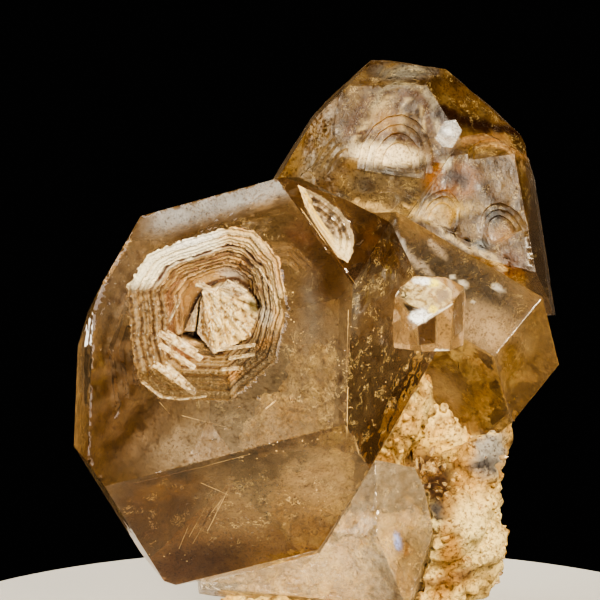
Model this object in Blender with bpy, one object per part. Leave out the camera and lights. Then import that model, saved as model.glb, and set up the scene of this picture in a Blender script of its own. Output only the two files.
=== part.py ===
"""Smoky skeletal quartz cluster: short clear brown crystals standing on a lump of tan matrix.

Sizes are real ones in millimetres, and MM turns them into metres. +Z is up and the broken
base lies in z = 0. The side that shows the large stepped hollow faces -Y.
"""
import math

import bmesh
import bpy
from mathutils import Matrix, Vector, noise

MM = 0.001
GAP = 0.3
BLOCK = 130
PYRAMID_LEAN = math.radians(51.79)

# A quartz crystal is given by its centre, its long c axis, the a axis through prism face m0,
# and how far each face lies from the centre. m0 to m5 are the prism, u0 to u5 the upper
# pyramid and l0 to l5 the lower one, each 60 degrees on from the last.
MAIN_CENTRE = (-8.1, -10.4, 32.7)
MAIN_C_AXIS = (-0.342, -0.592, 0.730)
MAIN_A_AXIS = (0.023, -0.781, -0.624)
MAIN_FACES = {
    "u0": 13.3, "u1": 22.5, "u2": 24.6, "u3": 16.9, "u4": 18.1, "u5": 19.7,
    "m0": 14.4, "m1": 17.4, "m2": 19.4, "m3": 15.0, "m4": 11.0, "m5": 20.7,
    "l0": 20.7, "l1": 16.5, "l2": 17.0, "l3": 15.5, "l4": 17.0, "l5": 25.0,
}
MAIN_OTHER_FACES = {
    "bruised_top": ((0.42, 0.23, 0.88), 19.2),
    "left_bevel": ((-0.94, -0.12, 0.32), 19.4),
}

RIGHT_CENTRE = (16.5, 1.0, 34.3)
RIGHT_C_AXIS = (0.974, -0.101, 0.203)
RIGHT_A_AXIS = (-0.183, -0.879, 0.441)
RIGHT_FACES = {
    "m0": 9.2, "l1": 5.4, "u1": 9.4, "u4": 2.4, "l0": 10.3,
    "u2": 9.1, "m3": 11.0, "m4": 15.0, "l3": 14.0,
}

# The other crystals lie at odd angles, so each face is given by the way it looks and its
# distance from the crystal's centre.
SMALL_CENTRE = (10.5, -16.9, 39.7)
SMALL_FACES = {
    "bright_top": ((0.00, -0.71, 0.71), 4.2),
    "front": ((0.47, -0.88, 0.04), 5.0),
    "left": ((-0.80, -0.60, 0.10), 4.6),
    "lower_left": ((-0.71, -0.68, -0.20), 4.7),
    "right": ((0.95, -0.31, -0.06), 4.2),
    "right_bevel": ((0.60, -0.50, 0.63), 5.0),
    "foot": ((-0.03, -0.04, -1.00), 3.3),
    "crown": ((0.05, 0.71, 0.71), 2.1),
    "back_left": ((-0.70, 0.61, 0.37), 1.4),
    "back_right": ((0.75, 0.66, 0.01), 4.0),
}

LOWER_CENTRE = (2.4, -8.5, 10.0)
LOWER_FACES = {
    "slope": ((-0.41, -0.89, 0.22), 5.9),
    "front": ((-0.42, -0.89, -0.18), 3.8),
    "right": ((0.55, -0.80, 0.22), 8.6),
    "right_edge": ((0.96, 0.23, 0.16), 9.4),
    "right_shoulder": ((0.89, 0.17, 0.42), 11.4),
    "right_foot": ((0.95, -0.15, -0.28), 8.2),
    "tip": ((-0.05, 0.53, 0.85), 8.6),
    "left_top": ((-0.55, 0.22, 0.80), 8.9),
    "left_end": ((-0.99, -0.12, -0.09), 15.7),
    "back": ((0.00, 0.99, -0.14), 9.0),
    "underside": ((-0.15, -0.35, -0.92), 3.8),
}

BACK_CENTRE = (9.0, 16.8, 53.0)
BACK_FACES = {
    "front": ((-0.05, -0.96, 0.26), 8.5),
    "front_left": ((-0.62, -0.70, 0.35), 11.6),
    "front_top": ((-0.05, -0.55, 0.83), 11.2),
    "front_right": ((0.55, -0.63, 0.54), 10.7),
    "ledge": ((-0.08, -0.94, -0.33), 7.8),
    "left_low": ((-0.85, -0.03, 0.52), 11.4),
    "left_middle": ((-0.81, 0.20, 0.56), 11.0),
    "left_high": ((-0.69, 0.00, 0.72), 10.8),
    "left_crown": ((-0.61, 0.23, 0.76), 10.9),
    "crown": ((0.11, 0.04, 0.99), 11.2),
    "right_crown": ((0.40, 0.24, 0.88), 10.9),
    "right_high": ((0.66, 0.01, 0.75), 11.5),
    "right_low": ((0.90, 0.18, 0.39), 13.4),
    "right": ((1.00, 0.00, 0.00), 14.5),
    "back": ((0.00, 0.99, -0.14), 9.0),
    "back_top": ((-0.10, 0.87, 0.48), 10.8),
    "back_left": ((-0.60, 0.80, -0.01), 11.2),
    "back_right": ((0.60, 0.78, 0.19), 12.5),
    "foot": ((0.00, -0.14, -0.99), 19.7),
}

SHOULDER_CENTRE = (18.0, 10.8, 46.7)
SHOULDER_FACES = {
    "front": ((-0.05, -0.97, 0.24), 8.1),
    "front_left": ((-0.62, -0.60, 0.51), 10.1),
    "front_top": ((-0.10, -0.51, 0.86), 10.4),
    "front_low": ((-0.20, -0.90, -0.38), 9.5),
    "front_right": ((0.85, -0.46, 0.27), 8.2),
    "top": ((-0.20, 0.23, 0.95), 9.1),
    "top_right": ((0.44, 0.03, 0.90), 9.3),
    "right_high": ((0.66, 0.20, 0.73), 8.2),
    "left_high": ((-0.72, 0.20, 0.66), 7.8),
    "left": ((-0.82, 0.08, 0.57), 7.1),
    "right": ((0.98, -0.08, 0.16), 6.8),
    "foot": ((0.00, -0.14, -0.99), 10.9),
    "back": ((0.00, 0.99, -0.14), 9.0),
    "back_right": ((0.75, 0.66, 0.01), 8.7),
}

BEAD_CENTRE = (14.3, 8.2, 56.8)
BEAD_C_AXIS = (0.30, -0.55, 0.78)
BEAD_A_AXIS = (0.90, -0.20, -0.40)
BEAD_PRISM = 1.15
BEAD_POINT = 1.45

# The large hollow in face u0 of the main crystal. Its outline is seen from outside the face,
# with X along the edge between u0 and m0. Each step gives the share of the outline that
# sinks on, the depth it sinks to, and how far its middle has moved across and up the face.
HOPPER_CENTRE = (-4.2, -13.0, 8.0)
HOPPER_OUTLINE = (
    (-9.1, -2.0), (-9.3, -5.1), (-7.6, -7.4), (-4.2, -8.3), (-0.6, -9.4), (5.3, -6.7), (8.3, -1.8),
    (9.1, 3.9), (7.3, 7.2), (5.0, 8.3), (-0.6, 8.2), (-4.4, 7.8), (-7.6, 5.0),
)
HOPPER_STEPS = (
    (1.00, 0.6, 0.0, 0.0), (0.90, 1.3, 0.1, -0.1), (0.81, 2.1, 0.2, -0.3), (0.72, 3.0, 0.2, -0.5),
    (0.63, 3.9, 0.3, -0.8), (0.54, 5.0, 0.4, -1.0), (0.42, 6.2, 0.3, -1.2),
)
# Blades that stand in the hollow: middle across and up, length, width, the depth of the top,
# the turn about the way out of the hollow and the tilt
HOPPER_BLADES = (
    (0.6, 1.0, 5.4, 1.1, 3.4, 68, 10), (1.7, 0.4, 5.2, 1.2, 3.7, 48, -8),
    (2.4, -1.4, 4.6, 1.0, 3.9, 22, -12), (-2.9, -3.2, 5.2, 1.0, 2.9, -30, 16),
    (-3.6, 0.3, 4.4, 1.0, 3.6, 64, 10),
)
HOLE_OUTLINE = ((-2.4, -2.6), (-0.3, -3.0), (-1.0, -1.4))
HOLE_DEPTH = 8.0
# Rungs etched across face u4: middle, length and width, depth, the step from one to the next
LADDER_MIDDLE = (-14.1, -7.9, 12.6)
LADDER_RUNG = (4.2, 0.7)
LADDER_DEPTH = 0.4
LADDER_STEP = 1.5
LADDER_COUNT = 5

TEARDROP_CENTRE = (8.6, -14.5, 17.6)
TEARDROP_OUTLINE = (
    (-2.7, 4.7), (-2.4, 2.5), (-1.5, -0.1), (0.2, -3.4), (1.2, -4.1), (2.1, -3.0), (2.6, -1.4),
    (2.4, 0.3), (1.6, 1.6), (-0.2, 3.3),
)
TEARDROP_STEPS = ((1.00, 0.5, 0.0, 0.0), (0.84, 0.9, 0.0, -0.1), (0.66, 1.4, -0.1, -0.3))

# Stepped hollows on the faces that look back: face, middle, width, height, lean, floor depths
MAIN_REAR_HOLLOWS = (
    ("m4", (-11.4, 2.8, 2.5), 12.0, 15.0, 12, (0.6, 1.3, 2.1, 3.0)),
    ("m3", (4.6, 10.2, 11.5), 8.0, 7.0, -6, (0.5, 1.1, 1.8)),
)
BACK_REAR_HOLLOWS = (("back", (4.4, 7.9, -5.4), 11.0, 13.0, 8, (0.6, 1.4, 2.3, 3.2)),)

# Nested arches sunk in the back crystal: face, middle, width, height, lean and floor depths
ARCH_HOLLOWS = (
    ("front", (-0.4, -6.9, 2.1), 8.6, 7.4, -8, (0.8, 1.5, 2.3, 3.2)),
    ("front_left", (-7.2, -8.4, 0.4), 5.2, 8.6, -34, (0.5, 1.0, 1.6)),
    ("ledge", (-1.4, -6.6, -4.4), 9.6, 4.6, 0, (0.6, 1.2, 1.9)),
    ("front_top", (0.9, -3.8, 10.9), 7.0, 2.8, 4, (0.4, 0.9)),
)
SHOULDER_HOLLOWS = (
    ("front", (-4.6, -7.9, 2.4), 4.6, 4.0, -20, (0.7, 1.5, 2.2)),
    ("front", (1.8, -8.2, 0.8), 5.0, 4.2, 25, (0.6, 1.2, 1.9)),
    ("front_top", (1.0, -5.3, 8.9), 5.6, 3.0, 5, (0.4, 0.9)),
    ("front_low", (-2.2, -8.1, -4.6), 5.2, 3.0, 0, (0.6, 1.2)),
)
STEP_SHRINK = 0.20
STEP_SLIP = -0.2
# How high an arch rises above the line where its round top starts, and how far that line lies
# below its middle, as shares of its height
ARCH_RISE = 0.8
ARCH_SPRING = 0.3
ARCH_POINTS = 9
# A cutter stands this far out of the face that it cuts
PROUD = 2.0
# A blade's top, as shares of the length and width of its foot, and how deep its foot is rooted
BLADE_TOP = (0.82, 0.55)
BLADE_ROOT = 1.0

# The matrix is a lump about its core, as far out as any of these rounded lobes reaches:
# centre and the half-lengths along X, Y and Z
MATRIX_CORE = (8.0, 0.0, 17.0)
MATRIX_LOBES = (
    ((7.0, 1.2, 12.0), (13.5, 11.5, 13.0)),
    ((1.6, -2.5, 2.5), (14.5, 11.5, 5.5)),
    ((7.5, 9.5, 9.0), (12.5, 9.0, 12.5)),
    ((14.4, -5.0, 14.5), (6.8, 5.5, 8.0)),
    ((9.5, 12.0, 31.0), (12.0, 11.0, 8.5)),
    ((1.5, 9.0, 22.0), (8.5, 8.5, 8.0)),
    ((9.5, 9.0, 22.0), (12.0, 10.5, 9.5)),
    ((18.6, -5.8, 22.0), (2.8, 3.0, 3.6)),
    ((7.6, -7.0, 29.0), (5.0, 4.0, 5.5)),
)
MATRIX_ROUNDS = 5
# Broad swells, rounded lumps and fine bumps on the matrix: size and height
MATRIX_SWELLS = (11.0, 2.6)
MATRIX_LUMPS = (4.6, 2.4)
MATRIX_BUMPS = (2.4, 0.7)
# The distance from a lump's middle, as a share of the lump size, at which the crust is level
LUMP_EDGE = 0.45
# Dark pockets in the crust: middle, width and depth
MATRIX_POCKETS = (
    ((11.8, -8.4, 20.6), 2.6, 2.2), ((12.5, -10.4, 16.9), 1.8, 1.6), ((16.4, -8.4, 20.4), 1.9, 1.5),
    ((9.0, 15.0, 14.0), 3.2, 2.0), ((-4.0, 10.0, 10.0), 2.8, 1.8), ((20.0, 4.0, 9.0), 2.6, 1.8),
)

QUARTZ_ROUGHNESS = 0.06


def in_metres(point):
    return Vector(point) * MM


def quartz_faces(c_axis, a_axis, distances):
    """Direction and distance of each face of a quartz crystal."""
    c = Vector(c_axis).normalized()
    a = Vector(a_axis)
    a = (a - c * a.dot(c)).normalized()
    b = c.cross(a)
    faces = {}
    for name, distance in distances.items():
        turn = math.radians(60 * int(name[1]))
        outward = a * math.cos(turn) + b * math.sin(turn)
        if name[0] != "m":
            up = 1 if name[0] == "u" else -1
            outward = outward * math.sin(PYRAMID_LEAN) + c * up * math.cos(PYRAMID_LEAN)
        faces[name] = (outward, distance)
    return faces


def slice_off(shape, point, outward):
    """Cuts away what lies beyond a plane and closes the cut with a flat face."""
    everything = shape.verts[:] + shape.edges[:] + shape.faces[:]
    cut = bmesh.ops.bisect_plane(
        shape, geom=everything, dist=1e-7, plane_co=point, plane_no=outward, clear_outer=True
    )
    rim = [item for item in cut["geom_cut"] if isinstance(item, bmesh.types.BMEdge)]
    if rim:
        bmesh.ops.edgeloop_fill(shape, edges=rim)


def faceted(centre, faces, grow=0.0):
    """A block cut down to the given faces, each moved out by grow."""
    shape = bmesh.new()
    bmesh.ops.create_cube(shape, size=BLOCK * MM, matrix=Matrix.Translation(in_metres(centre)))
    for direction, distance in faces.values():
        outward = Vector(direction).normalized()
        point = in_metres(Vector(centre) + outward * (distance + grow))
        slice_off(shape, point, outward)
    bmesh.ops.recalc_face_normals(shape, faces=shape.faces)
    return shape


def face_frame(centre, faces, face, middle, across):
    """Axes at the point of a face nearest to middle: Z out of the face, X along across."""
    direction, distance = faces[face]
    outward = Vector(direction).normalized()
    offset = Vector(middle)
    offset += outward * (distance - offset.dot(outward))
    x = (across - outward * across.dot(outward)).normalized()
    y = outward.cross(x)
    axes = Matrix((x, y, outward)).transposed().to_4x4()
    return Matrix.Translation(in_metres(Vector(centre) + offset)) @ axes


def stepped_hollow(frame, outline, steps):
    """A cutter that sinks the outline into a face in steps, each smaller and deeper."""
    shape = bmesh.new()
    rim = [shape.verts.new((x * MM, y * MM, PROUD * MM)) for x, y in outline]
    floor = shape.faces.new(rim)
    share = 1.0
    for scale, depth, across, up in steps:
        if scale != share:
            floor = bmesh.ops.extrude_discrete_faces(shape, faces=[floor])["faces"][0]
            for corner, (x, y) in zip(floor.verts, outline):
                corner.co.x = (x * scale + across) * MM
                corner.co.y = (y * scale + up) * MM
            share = scale
        floor = bmesh.ops.extrude_discrete_faces(shape, faces=[floor])["faces"][0]
        for corner in floor.verts:
            corner.co.z = -depth * MM
    shape.faces.new(list(reversed(rim)))
    bmesh.ops.recalc_face_normals(shape, faces=shape.faces)
    bmesh.ops.transform(shape, matrix=frame, verts=shape.verts)
    return shape


def arch_outline(width, height, lean):
    """A round-topped arch on a flat sill, turned by lean degrees."""
    points = [(-width / 2, -height / 2), (width / 2, -height / 2)]
    for number in range(ARCH_POINTS):
        turn = math.pi * number / (ARCH_POINTS - 1)
        x = math.cos(turn) * width / 2
        y = math.sin(turn) * height * ARCH_RISE - height * ARCH_SPRING
        points.append((x, y))
    return turn_outline(points, lean)


def hexagon_outline(width, height, lean):
    """The six-sided outline of a hollow in a crystal face, turned by lean degrees."""
    points = []
    for number in range(6):
        turn = math.radians(60 * number)
        points.append((math.cos(turn) * width / 2, math.sin(turn) * height / 2))
    return turn_outline(points, lean)


def turn_outline(points, lean):
    c = math.cos(math.radians(lean))
    s = math.sin(math.radians(lean))
    return [(x * c - y * s, x * s + y * c) for x, y in points]


def sink_hollows(piece, centre, faces, hollows, outline):
    """Cuts a row of stepped hollows, each with the given kind of outline."""
    for number, (face, middle, width, height, lean, depths) in enumerate(hollows, 1):
        frame = face_frame(centre, faces, face, middle, Vector((1, 0, 0)))
        steps = [
            (1 - STEP_SHRINK * step, depth, 0, STEP_SLIP * step)
            for step, depth in enumerate(depths)
        ]
        hollow = stepped_hollow(frame, outline(width, height, lean), steps)
        work(piece, add_cutter(f"{piece.name}_{face}_hollow_{number}", hollow))


def blade(frame, middle_x, middle_y, length, width, top, turn, tilt):
    """A thin upright plate of crystal that stands on the floor of the large hollow."""
    shape = bmesh.new()
    height = HOPPER_STEPS[-1][1] + BLADE_ROOT - top
    bmesh.ops.create_cube(shape, size=1.0)
    bmesh.ops.scale(shape, vec=(length * MM, width * MM, height * MM), verts=shape.verts)
    for corner in shape.verts:
        if corner.co.z > 0:
            corner.co.x *= BLADE_TOP[0]
            corner.co.y *= BLADE_TOP[1]
    lean = Matrix.Rotation(math.radians(turn), 4, "Z") @ Matrix.Rotation(math.radians(tilt), 4, "X")
    place = Matrix.Translation((middle_x * MM, middle_y * MM, -(top + height / 2) * MM))
    bmesh.ops.transform(shape, matrix=frame @ place @ lean, verts=shape.verts)
    return shape


def add_piece(name, shape, material):
    mesh = bpy.data.meshes.new(name)
    shape.to_mesh(mesh)
    shape.free()
    piece = bpy.data.objects.new(name, mesh)
    mesh.materials.append(material)
    bpy.context.scene.collection.objects.link(piece)
    return piece


def add_cutter(name, shape):
    """A shape that only works on others, never built itself."""
    mesh = bpy.data.meshes.new(name)
    shape.to_mesh(mesh)
    shape.free()
    cutter = bpy.data.objects.new(name, mesh)
    cutter.hide_render = True
    cutter.display_type = "WIRE"
    bpy.context.scene.collection.objects.link(cutter)
    return cutter


def work(piece, tool, operation="DIFFERENCE"):
    boolean = piece.modifiers.new(tool.name, "BOOLEAN")
    boolean.object = tool
    boolean.operation = operation
    boolean.solver = "EXACT"


def make_material(name, colour, roughness, clear=False):
    material = bpy.data.materials.new(name)
    material.use_nodes = True
    shader = material.node_tree.nodes["Principled BSDF"]
    shader.inputs["Base Color"].default_value = (*colour, 1)
    shader.inputs["Roughness"].default_value = roughness
    shader.inputs["Metallic"].default_value = 0
    if clear:
        shader.inputs["Transmission Weight"].default_value = 1
        shader.inputs["IOR"].default_value = 1.544
    return material


def make_main_crystal(material):
    faces = main_faces()
    piece = add_piece("main_crystal", faceted(MAIN_CENTRE, faces), material)
    edge_way = Vector(MAIN_C_AXIS).cross(Vector(MAIN_A_AXIS)).normalized()

    frame = face_frame(MAIN_CENTRE, faces, "u0", HOPPER_CENTRE, edge_way)
    hollow = stepped_hollow(frame, HOPPER_OUTLINE, HOPPER_STEPS)
    work(piece, add_cutter("hopper_hollow", hollow))
    for number, shape in enumerate(HOPPER_BLADES, 1):
        work(piece, add_cutter(f"hopper_blade_{number}", blade(frame, *shape)), "UNION")
    hole = stepped_hollow(frame, HOLE_OUTLINE, ((1.0, HOLE_DEPTH, 0, 0),))
    work(piece, add_cutter("hopper_hole", hole))

    frame = face_frame(MAIN_CENTRE, faces, "u1", TEARDROP_CENTRE, edge_way)
    teardrop = stepped_hollow(frame, TEARDROP_OUTLINE, TEARDROP_STEPS)
    work(piece, add_cutter("teardrop_hollow", teardrop))

    along = faces["u4"][0].cross(faces["u0"][0])
    frame = face_frame(MAIN_CENTRE, faces, "u4", LADDER_MIDDLE, along)
    length, width = LADDER_RUNG
    for number in range(LADDER_COUNT):
        x = (number - (LADDER_COUNT - 1) / 2) * LADDER_STEP
        rung = [(x + i * width / 2, j * length / 2) for i, j in ((-1, -1), (1, -1), (1, 1), (-1, 1))]
        slot = stepped_hollow(frame, rung, ((1.0, LADDER_DEPTH, 0, 0),))
        work(piece, add_cutter(f"ladder_rung_{number + 1}", slot))

    sink_hollows(piece, MAIN_CENTRE, faces, MAIN_REAR_HOLLOWS, hexagon_outline)
    return piece


def main_faces():
    faces = quartz_faces(MAIN_C_AXIS, MAIN_A_AXIS, MAIN_FACES)
    faces.update(MAIN_OTHER_FACES)
    return faces


def make_back_crystal(material):
    """The domed crystal behind, with the rough shoulder crystal grown into its side."""
    piece = add_piece("back_crystal", faceted(BACK_CENTRE, BACK_FACES), material)
    sink_hollows(piece, BACK_CENTRE, BACK_FACES, ARCH_HOLLOWS, arch_outline)
    sink_hollows(piece, BACK_CENTRE, BACK_FACES, BACK_REAR_HOLLOWS, hexagon_outline)
    work(piece, add_cutter("shoulder", faceted(SHOULDER_CENTRE, SHOULDER_FACES)), "UNION")
    sink_hollows(piece, SHOULDER_CENTRE, SHOULDER_FACES, SHOULDER_HOLLOWS, arch_outline)
    return piece


def bead_faces():
    distances = {f"m{number}": BEAD_PRISM for number in range(6)}
    distances.update({f"u{number}": BEAD_POINT for number in range(6)})
    distances.update({f"l{number}": BEAD_POINT for number in range(6)})
    return quartz_faces(BEAD_C_AXIS, BEAD_A_AXIS, distances)


def lobe_reach(way, core, lobe):
    """How far out from the core, along way, the far side of a lobe lies."""
    centre, half = lobe
    start = [(c - m) / h for c, m, h in zip(core, centre, half)]
    step = [w / h for w, h in zip(way, half)]
    a = sum(s * s for s in step)
    b = sum(s * p for s, p in zip(step, start))
    c = sum(p * p for p in start) - 1
    inside = b * b - a * c
    if inside < 0:
        return 0.0
    return (math.sqrt(inside) - b) / a


def crust_height(point):
    """How far the rough crust stands out at a point of the smooth lump."""
    size, height = MATRIX_SWELLS
    out = height * noise.noise(point / size)
    size, height = MATRIX_LUMPS
    nearest = noise.voronoi(point / size)[0][0]
    out += height * (LUMP_EDGE - nearest)
    size, height = MATRIX_BUMPS
    out += height * noise.noise(point / size)
    for middle, width, depth in MATRIX_POCKETS:
        away = (point - Vector(middle)).length / width
        out -= depth * math.exp(-away * away)
    return out


def lumpy_matrix():
    shape = bmesh.new()
    bmesh.ops.create_icosphere(shape, subdivisions=MATRIX_ROUNDS, radius=1.0)
    core = Vector(MATRIX_CORE)
    for corner in shape.verts:
        way = corner.co.normalized()
        reach = max(lobe_reach(way, core, lobe) for lobe in MATRIX_LOBES)
        reach += crust_height(core + way * reach)
        corner.co = in_metres(core + way * reach)
    slice_off(shape, Vector((0, 0, 0)), Vector((0, 0, -1)))
    bmesh.ops.recalc_face_normals(shape, faces=shape.faces)
    return shape


def largest_lump(piece):
    """Applies the cuts and drops the crumbs that they part from the largest lump."""
    scene = bpy.context.evaluated_depsgraph_get()
    shape = bmesh.new()
    shape.from_mesh(piece.evaluated_get(scene).to_mesh())
    left = set(shape.verts)
    lumps = []
    while left:
        lump = [left.pop()]
        for corner in lump:
            for edge in corner.link_edges:
                other = edge.other_vert(corner)
                if other in left:
                    left.remove(other)
                    lump.append(other)
        lumps.append(lump)
    lumps.sort(key=len)
    for lump in lumps[:-1]:
        bmesh.ops.delete(shape, geom=lump, context="VERTS")
    piece.modifiers.clear()
    shape.to_mesh(piece.data)
    shape.free()


def build():
    for leftover in list(bpy.data.objects):
        bpy.data.objects.remove(leftover, do_unlink=True)

    smoky = make_material("smoky_quartz", (0.42, 0.27, 0.13), QUARTZ_ROUGHNESS, clear=True)
    clear = make_material("clear_quartz", (0.86, 0.82, 0.72), QUARTZ_ROUGHNESS, clear=True)
    frosted = make_material("frosted_quartz", (0.62, 0.55, 0.45), 0.3, clear=True)
    tan_rock = make_material("tan_druse", (0.66, 0.48, 0.28), 0.8)

    right_faces = quartz_faces(RIGHT_C_AXIS, RIGHT_A_AXIS, RIGHT_FACES)
    rooms = {
        "main": (MAIN_CENTRE, main_faces()),
        "small": (SMALL_CENTRE, SMALL_FACES),
        "right": (RIGHT_CENTRE, right_faces),
        "lower": (LOWER_CENTRE, LOWER_FACES),
        "back": (BACK_CENTRE, BACK_FACES),
        "shoulder": (SHOULDER_CENTRE, SHOULDER_FACES),
        "bead": (BEAD_CENTRE, bead_faces()),
    }
    room_for = {
        name: add_cutter(f"room_for_{name}", faceted(centre, faces, GAP))
        for name, (centre, faces) in rooms.items()
    }

    make_main_crystal(smoky)
    small = add_piece("small_crystal", faceted(*rooms["small"]), clear)
    right = add_piece("right_crystal", faceted(*rooms["right"]), smoky)
    lower = add_piece("lower_crystal", faceted(*rooms["lower"]), frosted)
    back = make_back_crystal(frosted)
    bead = add_piece("bead_crystal", faceted(*rooms["bead"]), clear)
    matrix = add_piece("matrix", lumpy_matrix(), tan_rock)

    # Where crystals meet, the one named first keeps its whole shape
    meetings = (
        (small, ("main",)),
        (right, ("main", "small")),
        (lower, ("main", "right")),
        (back, ("main", "right", "small")),
        (bead, ("back", "shoulder")),
        (matrix, ("main", "small", "right", "lower", "back", "shoulder")),
    )
    for piece, neighbours in meetings:
        for neighbour in neighbours:
            work(piece, room_for[neighbour])
    for piece in (right, lower, back, bead, matrix):
        largest_lump(piece)


build()
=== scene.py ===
"""Looks of the smoky skeletal quartz cluster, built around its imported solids.

Lengths are in millimetres, and MM turns them into metres. The side with the large stepped
hollow faces -Y, and the broken base of the matrix lies in z = 0. Colours and etching are laid
on the points of each piece as attributes, which its finish reads.
"""
import math
import random

import bpy
import numpy as np
from mathutils import Matrix, Vector, noise


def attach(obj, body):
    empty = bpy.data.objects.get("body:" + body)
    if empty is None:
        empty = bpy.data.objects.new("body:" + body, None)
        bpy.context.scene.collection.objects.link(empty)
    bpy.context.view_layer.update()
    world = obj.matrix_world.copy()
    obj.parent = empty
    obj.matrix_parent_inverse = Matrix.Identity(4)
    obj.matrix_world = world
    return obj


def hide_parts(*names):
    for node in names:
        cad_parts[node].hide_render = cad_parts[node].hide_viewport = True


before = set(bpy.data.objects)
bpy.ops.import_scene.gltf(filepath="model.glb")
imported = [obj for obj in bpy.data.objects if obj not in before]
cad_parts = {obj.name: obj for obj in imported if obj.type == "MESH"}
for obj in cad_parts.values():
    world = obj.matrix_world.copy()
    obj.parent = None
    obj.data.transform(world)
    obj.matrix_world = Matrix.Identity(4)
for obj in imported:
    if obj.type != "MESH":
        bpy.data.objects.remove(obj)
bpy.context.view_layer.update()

MM = 0.001

CAMERA_TARGET = (-2.6, -7.3, 40.0)
CAMERA_AWAY = 400.0
CAMERA_RISE = math.radians(8)
CAMERA_LENS = 218.2
SENSOR = 36.0
# Width of the square picture that places on the crystals are given in, in pixels
PICTURE = 600

EXPOSURE = -0.2
TONES = "AgX - High Contrast"
WORLD_GREY = 0.006
FLOOR_REACH = 50.0
FLOOR_DROP = 0.02
FLOOR_ROUGH = 0.7

WARM = (1.0, 0.92, 0.76)
PALE = (1.0, 0.95, 0.86)
COOL = (0.95, 0.96, 1.0)
# Lamps: name, place, width, power, colour, seen through the quartz, mirrored in it
LAMPS = (
    ("key", (90, -240, 150), 110, 1.5, WARM, False, True),
    ("fill", (-190, -190, 10), 160, 0.3, COOL, False, True),
    ("back", (-40, 230, 170), 200, 1.2, WARM, False, False),
    ("glow_right", (170, 210, 60), 260, 0.6, PALE, True, False),
    ("glow_low", (-30, 120, -160), 200, 0.10, WARM, True, False),
    ("glow_top", (-60, 60, 300), 200, 0.6, COOL, True, False),
)
# About the way from the crystals to the key lamp, and the way of a face low on the back of the
# main crystal, through which a glow lamp would show
KEY_WAY = (0.30, -0.81, 0.50)
LOWER_BACK_WAY = (-0.45, 0.80, -0.40)

QUARTZ_IOR = 1.544
# The colour that is left of light inside each kind of quartz
SMOKE = (0.50, 0.475, 0.42)
CLOUD = (0.50, 0.46, 0.34)
HONEY = (0.92, 0.85, 0.70)
# Share of a lamp's light that enters through a quartz face
LAMP_SHARE = (0.96, 0.96, 0.96)
# Quartz darkens more than it turns yellow, so its tints are drawn that far towards grey
TINT_GREYING = 0.45

# Points of a node's loose triangles merge within that many metres, and triangles that turn by
# no more than that angle become one face
MERGE_WITHIN = 1e-6
FLAT_WITHIN = math.radians(0.6)
# Edges that turn by more than that are worn
SHARP_FROM = math.radians(14)
MOST_SPLITS = 9
# How quickly the finer octaves of noise fade, and how much finer each is
NOISE_FALL = 0.9
NOISE_STEP = 2.1
# How squarely a face looks at the camera, or another way: where it begins to count, and where
# it counts fully
FACING = (0.02, 0.18)
LOOKING = (0.93, 0.96)
PATCH_RIM = 1.2
# Etching may go past 1, so that it still covers a face whose finish takes only part of it
MOST_LAID = 2
FULL_TURN = 6.28


class Field:
    """One shader socket, on which Python's own operators add Math nodes."""

    def __init__(self, finish, socket):
        self.finish = finish
        self.socket = socket

    def maths(self, operation, *others, first=False):
        values = [*others, self] if first else [self, *others]
        return self.finish.field(
            "ShaderNodeMath", "Value", {"operation": operation}, dict(enumerate(values))
        )

    def __add__(self, other):
        return self.maths("ADD", other)

    def __radd__(self, other):
        return self.maths("ADD", other)

    def __sub__(self, other):
        return self.maths("SUBTRACT", other)

    def __rsub__(self, other):
        return self.maths("SUBTRACT", other, first=True)

    def __mul__(self, other):
        return self.maths("MULTIPLY", other)

    def __rmul__(self, other):
        return self.maths("MULTIPLY", other)

    def at_most(self, other):
        return self.maths("MINIMUM", other)

    def at_least(self, other):
        return self.maths("MAXIMUM", other)

    def rise(self, low, high):
        """0 below low and 1 above high, with a soft step between them; falls if high is lower."""
        start, end = min(low, high), max(low, high)
        step = self.finish.field(
            "ShaderNodeMapRange", "Result", {"interpolation_type": "SMOOTHSTEP"},
            {"Value": self, "From Min": start, "From Max": end},
        )
        return step if low < high else 1 - step

    def contour(self, outer, inner):
        """Thin lines where the field passes 0.5: 1 within inner of it and 0 beyond outer."""
        return self.rise(0.5 - outer, 0.5 - inner) * self.rise(0.5 + outer, 0.5 + inner)


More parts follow.
